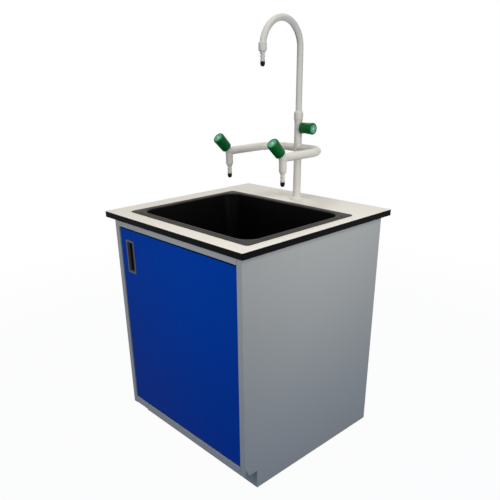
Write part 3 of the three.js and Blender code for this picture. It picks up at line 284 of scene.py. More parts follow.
def between(web, value, low, high):
    """0 below low, 1 above high, and a soft step between."""
    return web.node("ShaderNodeMapRange", {"interpolation_type": "SMOOTHSTEP"}, {
        "Value": value, "From Min": low, "From Max": high})


def height_on(web):
    """The height on the piece, in metres."""
    return web.node("ShaderNodeSeparateXYZ", None, {0: web.place}, "Z")


def facing_up(web):
    """How far the surface faces upwards on the piece: 1 for a level top, 0 for an upright side."""
    normal = web.node("ShaderNodeTexCoord", output="Normal")
    return web.node("ShaderNodeSeparateXYZ", None, {0: normal}, "Z")


def recolour(web, base):
    """Feeds the shader a colour, in place of the one that it had."""
    web.feed(web.shader.inputs["Base Color"], base)


def surface(web, base, roughness, height):
    """Feeds the shader: colour, roughness, and a bump whose height is in metres."""
    recolour(web, base)
    web.feed(web.shader.inputs["Roughness"], roughness)
    bump = web.node("ShaderNodeBump", None, {"Strength": 1.0, "Distance": 1.0, "Height": height})
    web.feed(web.shader.inputs["Normal"], bump)


print("finish tools ready")

# %% [markdown]
# ### Paint
#
# The cabinet, the door and the tap are powder coated. The powder flows into a fine orange peel, its
# tone drifts a little over a panel, and a few rubbed marks are paler and duller than the rest. The door
# has the smoothest coat. Its specular level is low, because the studio is white all round and a strong
# one would wash out the deep blue. Its top edge carries a painted shadow for the gap under the rail,
# which draws the black line along the top of the door. The height on the door tells that edge apart.

# %% Painted finishes
DRIFT_SCALE = 2.4
PEEL_SCALE = 420
RUB_SCALE = 30
RUB_STRETCH = (1.0, 1.0, 0.2)
RUB_STEP = (0.6, 0.78)
CANNING_SCALE = 4.5


def painted(slot, tone, roughness, peel, canning, rubbed, **constants):
    """A powder coat. The depths of its orange peel and of the sheet's canning are in millimetres."""
    web = start_finish(slot, **constants)
    drift = grain(web, DRIFT_SCALE)
    lumps = grain(web, PEEL_SCALE)
    rubs = between(web, grain(web, RUB_SCALE, 5, RUB_STRETCH), *RUB_STEP)
    clean = web.mix(drift, colour(*tone, 0.94), colour(*tone, 1.06))
    base = web.mix(rubbed * rubs, clean, colour(*tone, 1.3))
    dull = roughness + 0.1 * (drift - 0.5) + 0.1 * rubs
    surface(web, base, dull, peel * MM * lumps + canning * MM * grain(web, CANNING_SCALE, 1))
    return web, base


painted("cabinet_grey", (166, 168, 166), roughness=0.45, peel=0.02, canning=0.6, rubbed=0.12,
        Specular_IOR_Level=0.3)
painted("tap_white", (219, 217, 211), roughness=0.42, peel=0.006, canning=0.0, rubbed=0.1,
        Specular_IOR_Level=0.06)
painted("pull_grey", (88, 90, 93), roughness=0.45, peel=0.02, canning=0.0, rubbed=0.1,
        Specular_IOR_Level=0.2)
door, door_blue = painted("door_blue", (0, 66, 174), roughness=0.22, peel=0.01, canning=0.1, rubbed=0.0,
                          Specular_IOR_Level=0.008)
DOOR_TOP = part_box("door_outer_skin")[1].z
# Painted shadow: the top 1.4 mm of the door is painted nearly black, for the shade in the gap under the
# rail.
GAP_SHADOW_START = DOOR_TOP - 1.4 * MM
GAP_SHADOW_FULL = DOOR_TOP - 0.6 * MM
painted_gap_shadow = between(door, height_on(door), GAP_SHADOW_START, GAP_SHADOW_FULL)
recolour(door, door.mix(painted_gap_shadow, door_blue, colour(2, 4, 16)))
print("painted", sorted(FINISHES))

# %% [markdown]
# ### Plastics and rubber
#
# Moulded pieces carry the fine spark grain of their tool, and their colour barely varies. The sink and
# the tips are black, so nearly all that shows on them is the sheen, and its roughness matters more than
# its colour.

# %% Moulded finishes
CLOUD_SCALE = 9


def moulded(slot, tone, roughness, depth, spark=900, **constants):
    """A moulded finish, with a spark grain of a depth in millimetres and so many lumps to the metre."""
    web = start_finish(slot, **constants)
    drift = grain(web, CLOUD_SCALE)
    sparks = grain(web, spark, 3)
    base = web.mix(0.6 * drift + 0.4 * sparks, colour(*tone, 0.9), colour(*tone, 1.1))
    surface(web, base, roughness + 0.12 * (drift - 0.5) + 0.1 * (sparks - 0.5), depth * MM * sparks)
    return web, base


moulded("pull_black", (16, 16, 18), roughness=0.5, depth=0.02, Specular_IOR_Level=0.15)
moulded("rubber_black", (14, 14, 15), roughness=0.62, depth=0.02, spark=1500, Specular_IOR_Level=0.12)
moulded("index_blue", (150, 205, 228), roughness=0.22, depth=0.004, spark=1500)
moulded("trap_white", (222, 223, 220), roughness=0.4, depth=0.012)
moulded("nylon", (226, 223, 212), roughness=0.48, depth=0.012)
print("moulded", len(FINISHES))

# %% [markdown]
# ### A painted sheen and a painted highlight
#
# The sink's flange is painted dull grey, a painted sheen for the room it reflects, while the bowl
# below stays black. The height on the piece tells the two apart. The flat of a knob's end, inside its
# rim, is painted paler than its sides, a painted highlight. That can't be told from a height, because
# the knobs point three ways, so the knob's mesh carries an attribute on that flat.

# %% Sink and knob finishes
# Heights where the flange's painted sheen fades in, its mottle scale, and the attribute and share of the
# knobs' painted highlight.
FLANGE_START = 0.8475
FLANGE_FULL = 0.8525
SHEEN_MOTTLE_SCALE = 26
HIGHLIGHT_ATTRIBUTE = "painted_highlight"
HIGHLIGHT_SHARE = 0.8

bowl, bowl_black = moulded("sink_black", (4, 4, 5), roughness=0.5, depth=0.006, Specular_IOR_Level=0.03)
# Painted sheen: above the black bowl, the flange is painted a mottled dull grey for the room that it
# reflects.
sheen_mottle = grain(bowl, SHEEN_MOTTLE_SCALE, 4)
painted_sheen = bowl.mix(sheen_mottle, colour(50, 48, 46), colour(72, 69, 65))
on_flange = between(bowl, height_on(bowl), FLANGE_START, FLANGE_FULL)
recolour(bowl, bowl.mix(on_flange, bowl_black, painted_sheen))

drum, drum_green = moulded("knob_green", (4, 92, 40), roughness=0.34, depth=0.01, spark=1200,
                           Specular_IOR_Level=0.1)
# Painted highlight: the marked flat of each knob's end is painted paler than its sides.
highlight_mask = drum.node("ShaderNodeAttribute", {"attribute_name": HIGHLIGHT_ATTRIBUTE}, None, "Fac")
recolour(drum, drum.mix(HIGHLIGHT_SHARE * highlight_mask, drum_green, colour(110, 182, 138)))
# Prints whether the sink with its painted sheen and the knobs with their painted highlight have finishes.
print("painted sheen and highlight", "sink_black" in FINISHES, "knob_green" in FINISHES)

# %% [markdown]
# ### Laminate and bare metal
#
# The white face is a pressed laminate with a pearl texture that can just be felt. It is white only
# where it faces up: its sawn edge is as dark as the core. The black core is many sheets of paper in
# resin, so its edge shows fine level lines. Steel and brass pieces are turned or drawn, which leaves
# fine marks in one direction.

# %% Laminate and metal finishes
PEARL_SCALE = 1100
PAPER_SCALE = 5
TOP_STEP = (0.8, 0.95)
LAYER_STRETCH = (14.0, 14.0, 2600.0)
SAW_STRETCH = (600.0, 600.0, 20.0)
DRAWN_STRETCH = (60.0, 60.0, 1800.0)
STAIN_SCALE = 40

face = start_finish("laminate_white", Specular_IOR_Level=0.2)
pearl = grain(face, PEARL_SCALE, 3)
cloud = grain(face, PAPER_SCALE)
paper = face.mix(0.5 * pearl + 0.5 * cloud, colour(220, 216, 207), colour(229, 225, 217))
on_top = between(face, facing_up(face), *TOP_STEP)
surface(face, face.mix(on_top, colour(12, 12, 14), paper), 0.5 + 0.12 * (pearl - 0.5), 0.02 * MM * pearl)

core = start_finish("laminate_black", Specular_IOR_Level=0.03)
layers = grain(core, 1.0, 2, LAYER_STRETCH)
saw = grain(core, 1.0, 2, SAW_STRETCH)
surface(core, core.mix(layers, colour(6, 6, 8), colour(13, 13, 16)),
        0.44 + 0.16 * layers, 0.02 * MM * layers + 0.01 * MM * saw)


def drawn_metal(slot, tone, roughness):
    """Bare metal with fine marks that run round the Z axis, and a few stains."""
    web = start_finish(slot, Metallic=1.0)
    marks = grain(web, 1.0, 3, DRAWN_STRETCH)
    stain = grain(web, STAIN_SCALE, 3)
    surface(web, web.mix(0.5 * marks + 0.5 * stain, colour(*tone, 0.85), colour(*tone, 1.1)),
            roughness + 0.16 * marks + 0.1 * (stain - 0.5), 0.01 * MM * marks)


drawn_metal("steel", (182, 184, 188), roughness=0.26)
drawn_metal("brass", (186, 148, 78), roughness=0.26)
print("finishes", len(FINISHES))

# %% [markdown]
# ### Finishes on the nodes
#
# The record gives every node a slot and a body. Both lists are kept, because a new piece takes the slot
# and the body of the node that it stands for. The nodes get their finishes here too, so that one that
# needs no new shape, such as a hinge pin or a spindle, is already dressed.

# %% Put the finishes on the CAD nodes
NODE_SLOT = {part["node"]: part["material_slot"] for part in record["subparts"]}
NODE_BODY = {node: body for body, nodes in record["behaviour"]["bodies"].items() for node in nodes}
for node, shown in frame["nodes"].items():
    shown.data.materials.clear()
    shown.data.materials.append(FINISHES[NODE_SLOT[node]])
print("nodes with a finish", len(frame["nodes"]))

# %% [markdown]
# ## Working on a piece
#
# The edit operators act on whatever is selected, so every piece starts from an empty selection. A CAD
# mesh is all triangles. A copy of it is welded and its flat triangles are joined, after which each edge
# that shows on the object is one edge of the mesh, and can be picked by where it lies. A Bevel modifier
# rounds it, and normals weighed by the area of the faces keep the flat sides flat in the light.

# %% Tools for pieces
WELD = 0.005 * MM
FLAT_ANGLE = math.radians(1)
SMOOTH_ANGLE = math.radians(35)


def begin():
    """Leaves edit mode and deselects everything, so that the next operator acts on one piece only."""
    if bpy.context.object and bpy.context.object.mode != "OBJECT":
        bpy.ops.object.mode_set(mode="OBJECT")
    bpy.ops.object.select_all(action="DESELECT")


def take(piece):
    """Selects one piece alone, and makes it the active one."""
    begin()
    piece.select_set(True)
    bpy.context.view_layer.objects.active = piece


def edit_all(piece):
    """Opens a piece in edit mode with its whole mesh selected."""
    take(piece)
    bpy.ops.object.mode_set(mode="EDIT")
    bpy.ops.mesh.select_all(action="SELECT")


def turn_outward():
    """Points the faces of the mesh in edit mode outwards, and leaves edit mode."""
    bpy.ops.mesh.select_all(action="SELECT")
    bpy.ops.mesh.normals_make_consistent(inside=False)
    bpy.ops.object.mode_set(mode="OBJECT")


def apply_modifier(piece, kind, **settings):
    """Adds a modifier to the active piece, sets it and applies it."""
    bpy.ops.object.modifier_add(type=kind)
    modifier = piece.modifiers[-1]
    for setting, value in settings.items():
        setattr(modifier, setting, value)
    bpy.ops.object.modifier_apply(modifier=modifier.name)


def pick_edges(piece, test):
    """Selects the edges of the mesh in edit mode that pass a test of their two ends."""
    bpy.ops.mesh.select_mode(type="EDGE")
    bpy.ops.mesh.select_all(action="DESELECT")
    shape = bmesh.from_edit_mesh(piece.data)
    picked = [edge for edge in shape.edges if test(*(corner.co for corner in edge.verts))]
    for edge in picked:
        edge.select_set(True)
    bmesh.update_edit_mesh(piece.data)
    return len(picked)


def merged_copy(node):
    """A copy of a CAD node in edit mode, with its triangles joined into flat faces."""
    piece = bpy.data.objects.new(node, frame["nodes"][node].data.copy())
    bpy.context.collection.objects.link(piece)
    edit_all(piece)
    bpy.ops.mesh.remove_doubles(threshold=WELD)
    bpy.ops.mesh.dissolve_limited(angle_limit=FLAT_ANGLE)
    return piece


def ease_edges(piece, width, segments=2):
    """Rounds every sharp edge, and keeps the faces flat in the shading by weighing normals by area."""
    bpy.ops.object.mode_set(mode="OBJECT")
    apply_modifier(piece, "BEVEL", width=width, segments=segments, limit_method="ANGLE",
                   angle_limit=SMOOTH_ANGLE)
    bpy.ops.object.shade_smooth_by_angle(angle=SMOOTH_ANGLE)
    apply_modifier(piece, "WEIGHTED_NORMAL", keep_sharp=True)


def keep(piece, name, node):
    """Names a finished piece, gives it its node's finish and body, and lets it stand for the node."""
    begin()
    piece.name = name
    piece.data.name = name
    piece.data.materials.clear()
    piece.data.materials.append(FINISHES[NODE_SLOT[node]])
    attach(piece, NODE_BODY[node])
    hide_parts(node)


print("piece tools ready")

# %% [markdown]
# ## Folded sheet
#
# The cabinet is bent from 1.5 mm sheet, and a real fold is round. The CAD solids have the right shape
# with sharp edges, so the long fold lines of the side panels, the floor and the top rail get a radius
# with the bevel operator, and every other edge only loses its sharpness. The fold along the front of the
# floor is the widest, and shows as a light line under the door. Modelling the sheets anew would give the
# same shape with more work and a chance of a gap.

# %% Cabinet sheets
FOLD_RADIUS = {"side_panel_left": 1.4, "side_panel_right": 1.4, "base_panel": 4.0, "top_rail": 0.6}
FOLD_SEGMENTS = 4
CUT_EDGE = 0.35 * MM
LONG_FOLD = 0.1
SAME_PLACE = 0.05 * MM


def near(first, second):
    """Whether two coordinates are the same, apart from rounding."""
    return abs(first - second) < SAME_PLACE


def fold_test(low, high):
    """Long edges round the front of a box, and the upright ones at its outer rear corner."""
    outer = low.x if abs(low.x) > abs(high.x) else high.x

    def test(first, second):
        if (first - second).length < LONG_FOLD:
            return False
        level = near(first.z, second.z) and any(near(first.z, z) for z in (low.z, high.z))
        upright = near(first.x, second.x) and any(near(first.x, x) for x in (low.x, high.x))
        at_front = near(first.y, low.y) and near(second.y, low.y)
        at_rear = near(first.y, high.y) and near(second.y, high.y)
        outer_rear = at_rear and upright and near(first.x, outer)
        return at_front and (level or upright) or outer_rear

    return test


for sheet in (
    "side_panel_left", "side_panel_right", "base_panel", "plinth", "back_panel", "top_rail", "rear_rail",
):
    panel = merged_copy(sheet)
    folds = 0
    if sheet in FOLD_RADIUS:
        folds = pick_edges(panel, fold_test(*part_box(sheet)))
        bpy.ops.mesh.bevel(offset=FOLD_RADIUS[sheet] * MM, segments=FOLD_SEGMENTS)
    ease_edges(panel, CUT_EDGE)
    keep(panel, sheet + "_folded", sheet)
    print(sheet, "folds", folds, "faces", len(panel.data.polygons))

# %% [markdown]
# ## Door
#
# The door is a tray of thin sheet with a flat back. Its front edges are folds, a little tighter than
# those of the cabinet, because its sheet is thinner. The flush pull is a separate moulding with softly
# rounded edges. Other pieces whose CAD shape is right only need their sharpness taken off, so the
# fittings inside, the worktop, the sink's seal and the nuts are eased in the same loop, each by its own
# width.

# %% Door, pull and eased pieces
DOOR_FOLD = 1.0 * MM
DOOR_CUT_EDGE = 0.3 * MM
EASED_SEGMENTS = 3

door_skin = merged_copy("door_outer_skin")
door_folds = pick_edges(door_skin, fold_test(*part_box("door_outer_skin")))
bpy.ops.mesh.bevel(offset=DOOR_FOLD, segments=FOLD_SEGMENTS)
ease_edges(door_skin, DOOR_CUT_EDGE)
keep(door_skin, "door_outer_skin_folded", "door_outer_skin")
print("door folds", door_folds)

EASED_EDGE = {
    "door_inner_skin": 0.3, "pull_rim": 0.55, "pull_cup": 0.6,
    "hinge_block_upper": 0.8, "hinge_block_lower": 0.8, "catch_strike": 0.4, "catch_magnet": 1.2,
    "waste_nut": 0.8, "trap_nut": 0.8, "shank_washer": 0.6, "shank_nut": 0.6,
    "worktop_core": 0.5, "worktop_face": 0.7, "sink_seal": 0.2,
}
for node, width in EASED_EDGE.items():
    eased = merged_copy(node)
    ease_edges(eased, width * MM, EASED_SEGMENTS)
    keep(eased, node + "_eased", node)
print("eased", len(EASED_EDGE))

# %% [markdown]
# ## Sink
#
# The bowl is one moulding: a flat band on the worktop, a raised lip, walls that narrow downwards and
# run into the floor in a wide curve, and a floor that falls to the drain. It is lofted through rounded
# rectangles. Each one is a plane whose four corners are beveled, and each is bridged to the one before.
# The loft starts at the drain hole, runs out over the floor, over the rim and back under it, so that
# the wall has its thickness from the start.

# %% Sink bowl
bowl_low, bowl_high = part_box("sink_bowl")
SINK_MIDDLE = (bowl_low + bowl_high) / 2
SINK_SIZE = bowl_high - bowl_low
CORNER_SEGMENTS = 10
DRAIN = "drain"
# The corners of a ring round the drain stop short of half its width, so that their points don't meet.
DRAIN_ROUNDING = 0.98

# How far each ring lies inside the flange's edge, its corner radius and its height, all in millimetres.
# A ring round the drain gives its radius in place of the first two.
SINK_RINGS = [
    (DRAIN, 20.3, 557.1), (DRAIN, 20.3, 561.9), (DRAIN, 36.0, 562.0),
    (DRAIN, 36.0, 565.6), (DRAIN, 37.6, 566.3),
    (60.0, 52.0, 574.4), (48.0, 45.0, 576.6), (40.0, 40.0, 582.0), (36.0, 37.5, 591.0),
    (34.1, 36.0, 604.0), (26.1, 54.0, 850.4), (25.5, 54.0, 852.0), (24.2, 53.0, 853.2),
    (22.2, 52.0, 853.8), (20.4, 50.0, 853.95), (15.6, 42.0, 854.0), (13.9, 38.0, 853.8),
    (12.8, 34.0, 853.2), (12.0, 31.0, 852.6), (11.0, 28.0, 852.45),
    (1.0, 12.5, 852.4), (0.3, 12.2, 852.1), (0.0, 12.0, 851.6), (0.0, 12.0, 850.8),
    (20.4, 41.0, 850.9), (21.2, 41.0, 848.0), (29.4, 41.0, 600.0), (31.0, 42.0, 586.0),
    (35.0, 44.0, 576.0), (46.0, 50.0, 570.0),
    (DRAIN, 41.0, 557.6), (DRAIN, 40.0, 557.0),
]


def add_ring(width, depth, radius, height):
    """Adds a rounded rectangle round the sink's middle to the mesh in edit mode, as a ring of edges."""
    middle = (SINK_MIDDLE.x, SINK_MIDDLE.y, height)
    bpy.ops.mesh.select_all(action="DESELECT")
    bpy.ops.mesh.primitive_plane_add(size=1.0, location=middle)
    bpy.ops.transform.resize(value=(width, depth, 1.0), center_override=middle)
    bpy.ops.mesh.bevel(offset=radius, segments=CORNER_SEGMENTS, affect="VERTICES")
    bpy.ops.mesh.delete(type="ONLY_FACE")


def bridge_rings(piece, first, second):
    """Bridges two rings, told apart by the order in which their points were added."""
    bpy.ops.mesh.select_mode(type="EDGE")
    bpy.ops.mesh.select_all(action="DESELECT")
    shape = bmesh.from_edit_mesh(piece.data)
    count = 4 * (CORNER_SEGMENTS + 1)
    for edge in shape.edges:
        rings = {corner.index // count for corner in edge.verts}
        if rings == {first} or rings == {second}:
            edge.select_set(True)
    bmesh.update_edit_mesh(piece.data)
    bpy.ops.mesh.bridge_edge_loops()
    bpy.ops.mesh.select_mode(type="VERT")


begin()
bpy.ops.mesh.primitive_plane_add(size=1.0)
sink = bpy.context.object
bpy.ops.object.mode_set(mode="EDIT")
bpy.ops.mesh.select_mode(type="VERT")
bpy.ops.mesh.delete(type="VERT")
for inset, radius, height in SINK_RINGS:
    if inset == DRAIN:
        across = 2 * radius * MM
        add_ring(across, across, DRAIN_ROUNDING * radius * MM, height * MM)
    else:
        add_ring(SINK_SIZE.x - 2 * inset * MM, SINK_SIZE.y - 2 * inset * MM, radius * MM, height * MM)
for ring in range(len(SINK_RINGS)):
    bridge_rings(sink, ring, (ring + 1) % len(SINK_RINGS))
turn_outward()
bpy.ops.object.shade_smooth_by_angle(angle=SMOOTH_ANGLE)
keep(sink, "sink_bowl_moulded", "sink_bowl")
print("sink rings", len(SINK_RINGS), "faces", len(sink.data.polygons))

# %% [markdown]
# ## Turned pieces
#
# The tap, the waste and the trap are mostly turned. Half of a piece's outline is drawn in the XZ plane
# by extruding one point from corner to corner, chosen corners are rounded with a vertex bevel, and the
# outline is spun once round the Z axis. A cylinder with scaled loops would do for a plain rod, but an
# outline can hold the bore and the undercuts as well.

# %% Tools for turned pieces
ROUND_STEPS = 48
ROUND_SEGMENTS = 4


def turned(outline, place=None):
    """A piece spun about Z from corners of (radius, height) or (radius, height, rounding), in mm."""
    begin()
    corners = [Vector((corner[0], 0.0, corner[1])) * MM for corner in outline]
    bpy.ops.mesh.primitive_plane_add(size=MM)
    piece = bpy.context.object
    bpy.ops.object.mode_set(mode="EDIT")
    bpy.ops.mesh.select_mode(type="VERT")
    bpy.ops.mesh.merge(type="CENTER")
    bpy.ops.transform.translate(value=corners[0])
    for start, end in zip(corners, corners[1:]):
        bpy.ops.mesh.extrude_vertices_move(TRANSFORM_OT_translate={"value": end - start})
    for corner, spot in zip(outline, corners):
        if len(corner) == 3:
            bpy.ops.mesh.select_all(action="DESELECT")
            shape = bmesh.from_edit_mesh(piece.data)
            for point in shape.verts:
                point.select_set((point.co - spot).length < WELD)
            bmesh.update_edit_mesh(piece.data)
            bpy.ops.mesh.bevel(offset=corner[2] * MM, segments=ROUND_SEGMENTS, affect="VERTICES")
    bpy.ops.mesh.select_all(action="SELECT")
    bpy.ops.mesh.spin(steps=ROUND_STEPS, angle=2 * math.pi, center=(0, 0, 0), axis=(0, 0, 1))
    bpy.ops.mesh.select_all(action="SELECT")
    bpy.ops.mesh.remove_doubles(threshold=WELD)
    turn_outward()
    bpy.ops.object.shade_smooth_by_angle(angle=SMOOTH_ANGLE)
    if place is not None:
        settle(piece, place)
    return piece


def settle(piece, place):
    """Moves a piece and puts the move into its mesh, so that its object stays at the origin."""
    take(piece)
    piece.matrix_world = place
    bpy.ops.object.transform_apply(location=True, rotation=True, scale=True)
    return piece


def copy_to(pattern, place):
    """A copy of a pattern with its own mesh, settled in another place."""
    take(pattern)
    bpy.ops.object.duplicate(linked=False)
    return settle(bpy.context.object, place)


def drop(*patterns):
    """Removes patterns and tools that aren't pieces themselves."""
    for pattern in patterns:
        bpy.data.objects.remove(pattern)


def rod(radius, bottom, top, place=None):
    """A plain round bar, to join on or to bore with."""
    return turned([(0, bottom), (radius, bottom), (radius, top), (0, top)], place=place)


def combine(piece, other, operation):
    """Joins another solid to a piece, or cuts it away, and removes it."""
    take(piece)
    apply_modifier(piece, "BOOLEAN", operation=operation, object=other)
    drop(other)
    bpy.ops.object.shade_smooth_by_angle(angle=SMOOTH_ANGLE)


def at(x, y, z):
    """A place in millimetres."""
    return Matrix.Translation(Vector((x, y, z)) * MM)


ALONG_X = Matrix.Rotation(math.radians(90), 4, "Y")
ALONG_Y = Matrix.Rotation(math.radians(-90), 4, "X")
print("steps round a turned piece", ROUND_STEPS)

# %% [markdown]
# ## Waste
#
# The waste sits in the drain hole. It is a flanged steel tail with a crossed grid, made from a turned
# outline and two bars. A boolean joins them, because the bars end inside the tail's wall.

# %% Waste with its grid
UNDER_DRAIN = at(SINK_MIDDLE.x / MM, SINK_MIDDLE.y / MM, 0)
BAR_HEIGHT = 562.6
BAR_LENGTH = 36.0
BAR_WIDTH = 3.0
BAR_DEPTH = 2.4

waste = turned([
    (16, 497), (20, 497, 0.8), (20, 562), (35, 562),
    (35, 565, 1.2), (19, 565, 1.5), (16, 563, 0.8), (16, 497)])
for size in ((BAR_WIDTH, BAR_LENGTH, BAR_DEPTH), (BAR_LENGTH, BAR_WIDTH, BAR_DEPTH)):
    begin()
    bpy.ops.mesh.primitive_cube_add(size=1.0, location=Vector((0, 0, BAR_HEIGHT)) * MM)
    bar = bpy.context.object
    bpy.ops.object.mode_set(mode="EDIT")
    bpy.ops.transform.resize(value=Vector(size) * MM, center_override=bar.location)
    bpy.ops.object.mode_set(mode="OBJECT")
    combine(waste, bar, "UNION")
keep(settle(waste, UNDER_DRAIN), "waste_tail_turned", "waste_tail")
print("waste faces", len(waste.data.polygons))

# %% [markdown]
# ### Bottle trap
#
# The trap hangs under the waste and shows when the door is open. It is white plastic: a body with its
# dip tube, a spigot at its side, a cup that screws on from below, and a straight outlet pipe to the
# back. The body and the cup are outlines, but the spigot lies across the body's axis, so it is a rod
# that is joined on and then bored.

# %% Bottle trap
OUTLET_HEIGHT = 469.4
SPIGOT_RADIUS = 21.3
SPIGOT_BORE = 18.3
trap_body = turned([
    (27, 425), (30, 425, 0.8), (30, 490.7, 3.0), (23.3, 496.7), (23.3, 511, 0.8), (20.3, 511),
    (20.3, 496.7), (16, 496.7), (16, 377), (19, 377), (19, 487.7), (27, 487.7), (27, 425)])
to_the_back = at(0, 0, OUTLET_HEIGHT) @ ALONG_Y
combine(trap_body, rod(SPIGOT_RADIUS, 25, 56, to_the_back), "UNION")
combine(trap_body, rod(SPIGOT_BORE, 19.6, 57, to_the_back), "DIFFERENCE")
keep(settle(trap_body, UNDER_DRAIN), "trap_body_moulded", "trap_body")

trap_cup = turned([
    (0, 342), (24, 342, 2.0), (26, 344, 1.0), (30.3, 344, 2.5), (33.3, 350, 2.0), (33.3, 424, 1.0),
    (34.3, 426, 0.8), (34.3, 436, 0.8), (33.5, 437, 0.4), (30.3, 437), (30.3, 348, 4.0), (0, 346)])
keep(settle(trap_cup, UNDER_DRAIN), "trap_cup_moulded", "trap_cup")

trap_outlet = turned([(15.5, 30), (18, 30), (18, 396.5, 0.8), (15.5, 396.5), (15.5, 30)])
keep(settle(trap_outlet, UNDER_DRAIN @ to_the_back), "trap_outlet_pipe", "trap_outlet")
print("trap", [len(piece.data.polygons) for piece in (trap_body, trap_cup, trap_outlet)])

# %% [markdown]
# ## Tap castings
#
# The column and the two outlet valves are castings, where one round form runs into the next in a soft
# fillet. A boolean union leaves a hard line there. Instead, overlapping rods are joined into one
# object, a voxel Remesh draws a single skin over them, and a Smooth modifier softens the corners. Ends
# that meet another piece are made too long by a spare length and cut flat with bisect, and the bores
# are cut last.

# %% Tools for castings
SKIN_VOXEL = 0.9 * MM
SKIN_SMOOTHING = 10
SPARE = 4.0


def cast(parts):
    """Draws one soft skin over overlapping parts, the first of which becomes the casting."""
    begin()
    for part in parts:
        part.select_set(True)
    piece = parts[0]
    bpy.context.view_layer.objects.active = piece
    bpy.ops.object.join()
    apply_modifier(piece, "REMESH", mode="VOXEL", voxel_size=SKIN_VOXEL)
    apply_modifier(piece, "SMOOTH", factor=0.5, iterations=SKIN_SMOOTHING)
    return piece


def cut_flat(piece, spot, outward):
    """Cuts away what lies beyond a plane and closes the cut."""
    edit_all(piece)
    bpy.ops.mesh.bisect(plane_co=Vector(spot) * MM, plane_no=outward, use_fill=True, clear_outer=True)
    bpy.ops.object.mode_set(mode="OBJECT")


print("skin voxel", round(SKIN_VOXEL / MM, 2), "mm")

# %% [markdown]
# ### Column
#
# The column stands on the worktop and carries the rest of the tap: stubs for the two arms, a neck for
# the upper valve, and the socket that the gooseneck turns in. Its shank goes down through the worktop.
# The shank is joined on after the skin is drawn, so that it stays a plain rod. The plane at the end of
# the right stub trims the upper neck too.

# %% Tap column
TAP_PLACE = at(0, 260, 850)
ARM_HEIGHT = 183.5
UPPER_VALVE_HEIGHT = 252.0
COLUMN_TOP = 295.0
COLUMN_FOOT = 0.4
COLUMN_RADIUS = 14.0
SHANK_LENGTH = 65.0
SHANK_RADIUS = 10.0
STUB = 18.0
STUB_RADIUS = 13.9
NECK = 16.5
NECK_RADIUS = 12.5
NECK_BORE = 8.3
NECK_BORE_FROM = 2.0
WATERWAY = 6.0
SOCKET_BOTTOM = 277.0
SOCKET_RADIUS = 11.3
OVERCUT = 2.0
upper_neck = at(0, 0, UPPER_VALVE_HEIGHT) @ ALONG_X

column = cast([
    rod(COLUMN_RADIUS, 0, COLUMN_TOP + SPARE),
    rod(STUB_RADIUS, -STUB - SPARE, STUB + SPARE, at(0, 0, ARM_HEIGHT) @ ALONG_X),
    rod(NECK_RADIUS, 0, NECK + SPARE, upper_neck),
])
for spot, outward in (
    ((0, 0, COLUMN_TOP), (0, 0, 1)), ((STUB, 0, 0), (1, 0, 0)), ((-STUB, 0, 0), (-1, 0, 0)),
    ((0, 0, COLUMN_FOOT), (0, 0, -1)),
):
    cut_flat(column, spot, outward)
combine(column, rod(SHANK_RADIUS, -SHANK_LENGTH, SPARE), "UNION")
for bore in (
    rod(WATERWAY, -SHANK_LENGTH - OVERCUT, ARM_HEIGHT),
    rod(SOCKET_RADIUS, SOCKET_BOTTOM, COLUMN_TOP + OVERCUT),
    rod(NECK_BORE, NECK_BORE_FROM, NECK + SPARE + OVERCUT, upper_neck),
):
    combine(column, bore, "DIFFERENCE")
keep(settle(column, TAP_PLACE), "tap_column_cast", "tap_column")
print("column faces", len(column.data.polygons))

# %% [markdown]
# ### Outlet valves
#
# Each arm ends in a valve: a ball where the ways meet, the outlet straight down, and the neck of the
# knob tilted to the front. The two are alike, so one is made at the origin and copied to both sides.
# The fine groove round the outlet is cut last, because the skin would close it.

# %% Outlet valves
VALVE_SIDE = 130.0
VALVE_REACH = 216.0
VALVE_DROP = 50.0
BALL_RADIUS = 15.0
OUTLET_RADIUS = 12.7
NOZZLE_HOLE = 4.9
NOZZLE_HOLE_TOP = -20.0
TILTED = Matrix.Rotation(math.radians(45), 4, "X")


def valve_place(side):
    """The place of the left valve (-1) or the right one (1)."""
    return TAP_PLACE @ at(side * VALVE_SIDE, -VALVE_REACH, ARM_HEIGHT)


begin()
bpy.ops.mesh.primitive_uv_sphere_add(
    segments=ROUND_STEPS, ring_count=ROUND_STEPS // 2, radius=BALL_RADIUS * MM)
ball = bpy.context.object
valve = cast([
    ball,
    turned([(0, -VALVE_DROP), (9.1, -VALVE_DROP), (OUTLET_RADIUS, -43.5), (OUTLET_RADIUS, 2), (0, 2)]),
    rod(STUB_RADIUS, 0, STUB + SPARE, ALONG_Y),
    rod(NECK_RADIUS, 0, NECK + SPARE, TILTED),
])
cut_flat(valve, (0, STUB, 0), (0, 1, 0))
tilt_axis = TILTED @ Vector((0, 0, 1))
cut_flat(valve, tilt_axis * NECK, tilt_axis)
combine(valve, rod(NECK_BORE, NECK_BORE_FROM, NECK + SPARE + OVERCUT, TILTED), "DIFFERENCE")
combine(valve, rod(NOZZLE_HOLE, -VALVE_DROP - OVERCUT, NOZZLE_HOLE_TOP), "DIFFERENCE")
groove = turned([(12.0, -35.8), (14, -35.8), (14, -34.4), (12.0, -34.4), (12.0, -35.8)])
combine(valve, groove, "DIFFERENCE")
for name, side in (("left", -1), ("right", 1)):
    keep(copy_to(valve, valve_place(side)), f"outlet_valve_{name}_cast", f"outlet_valve_{name}")
print("valve faces", len(valve.data.polygons))
drop(valve)

# %% [markdown]
# ## Bent tubes
#
# The arms and the gooseneck are bent from plain tube. A circle is extruded along the first straight
# run, spun round the bend's centre, and extruded again, and a Solidify modifier gives it a wall. A
# curve with a bevel would look the same, but the spin keeps the bend an exact arc, with its rings
# square to the tube. The left arm is the right one mirrored, which can turn a mesh inside out, so its
# faces are pointed outwards once more.

# %% Arms and gooseneck
TUBE_SIDES = 40
BEND_STEP = math.radians(5)
QUARTER = math.radians(90)
HALF = math.radians(180)


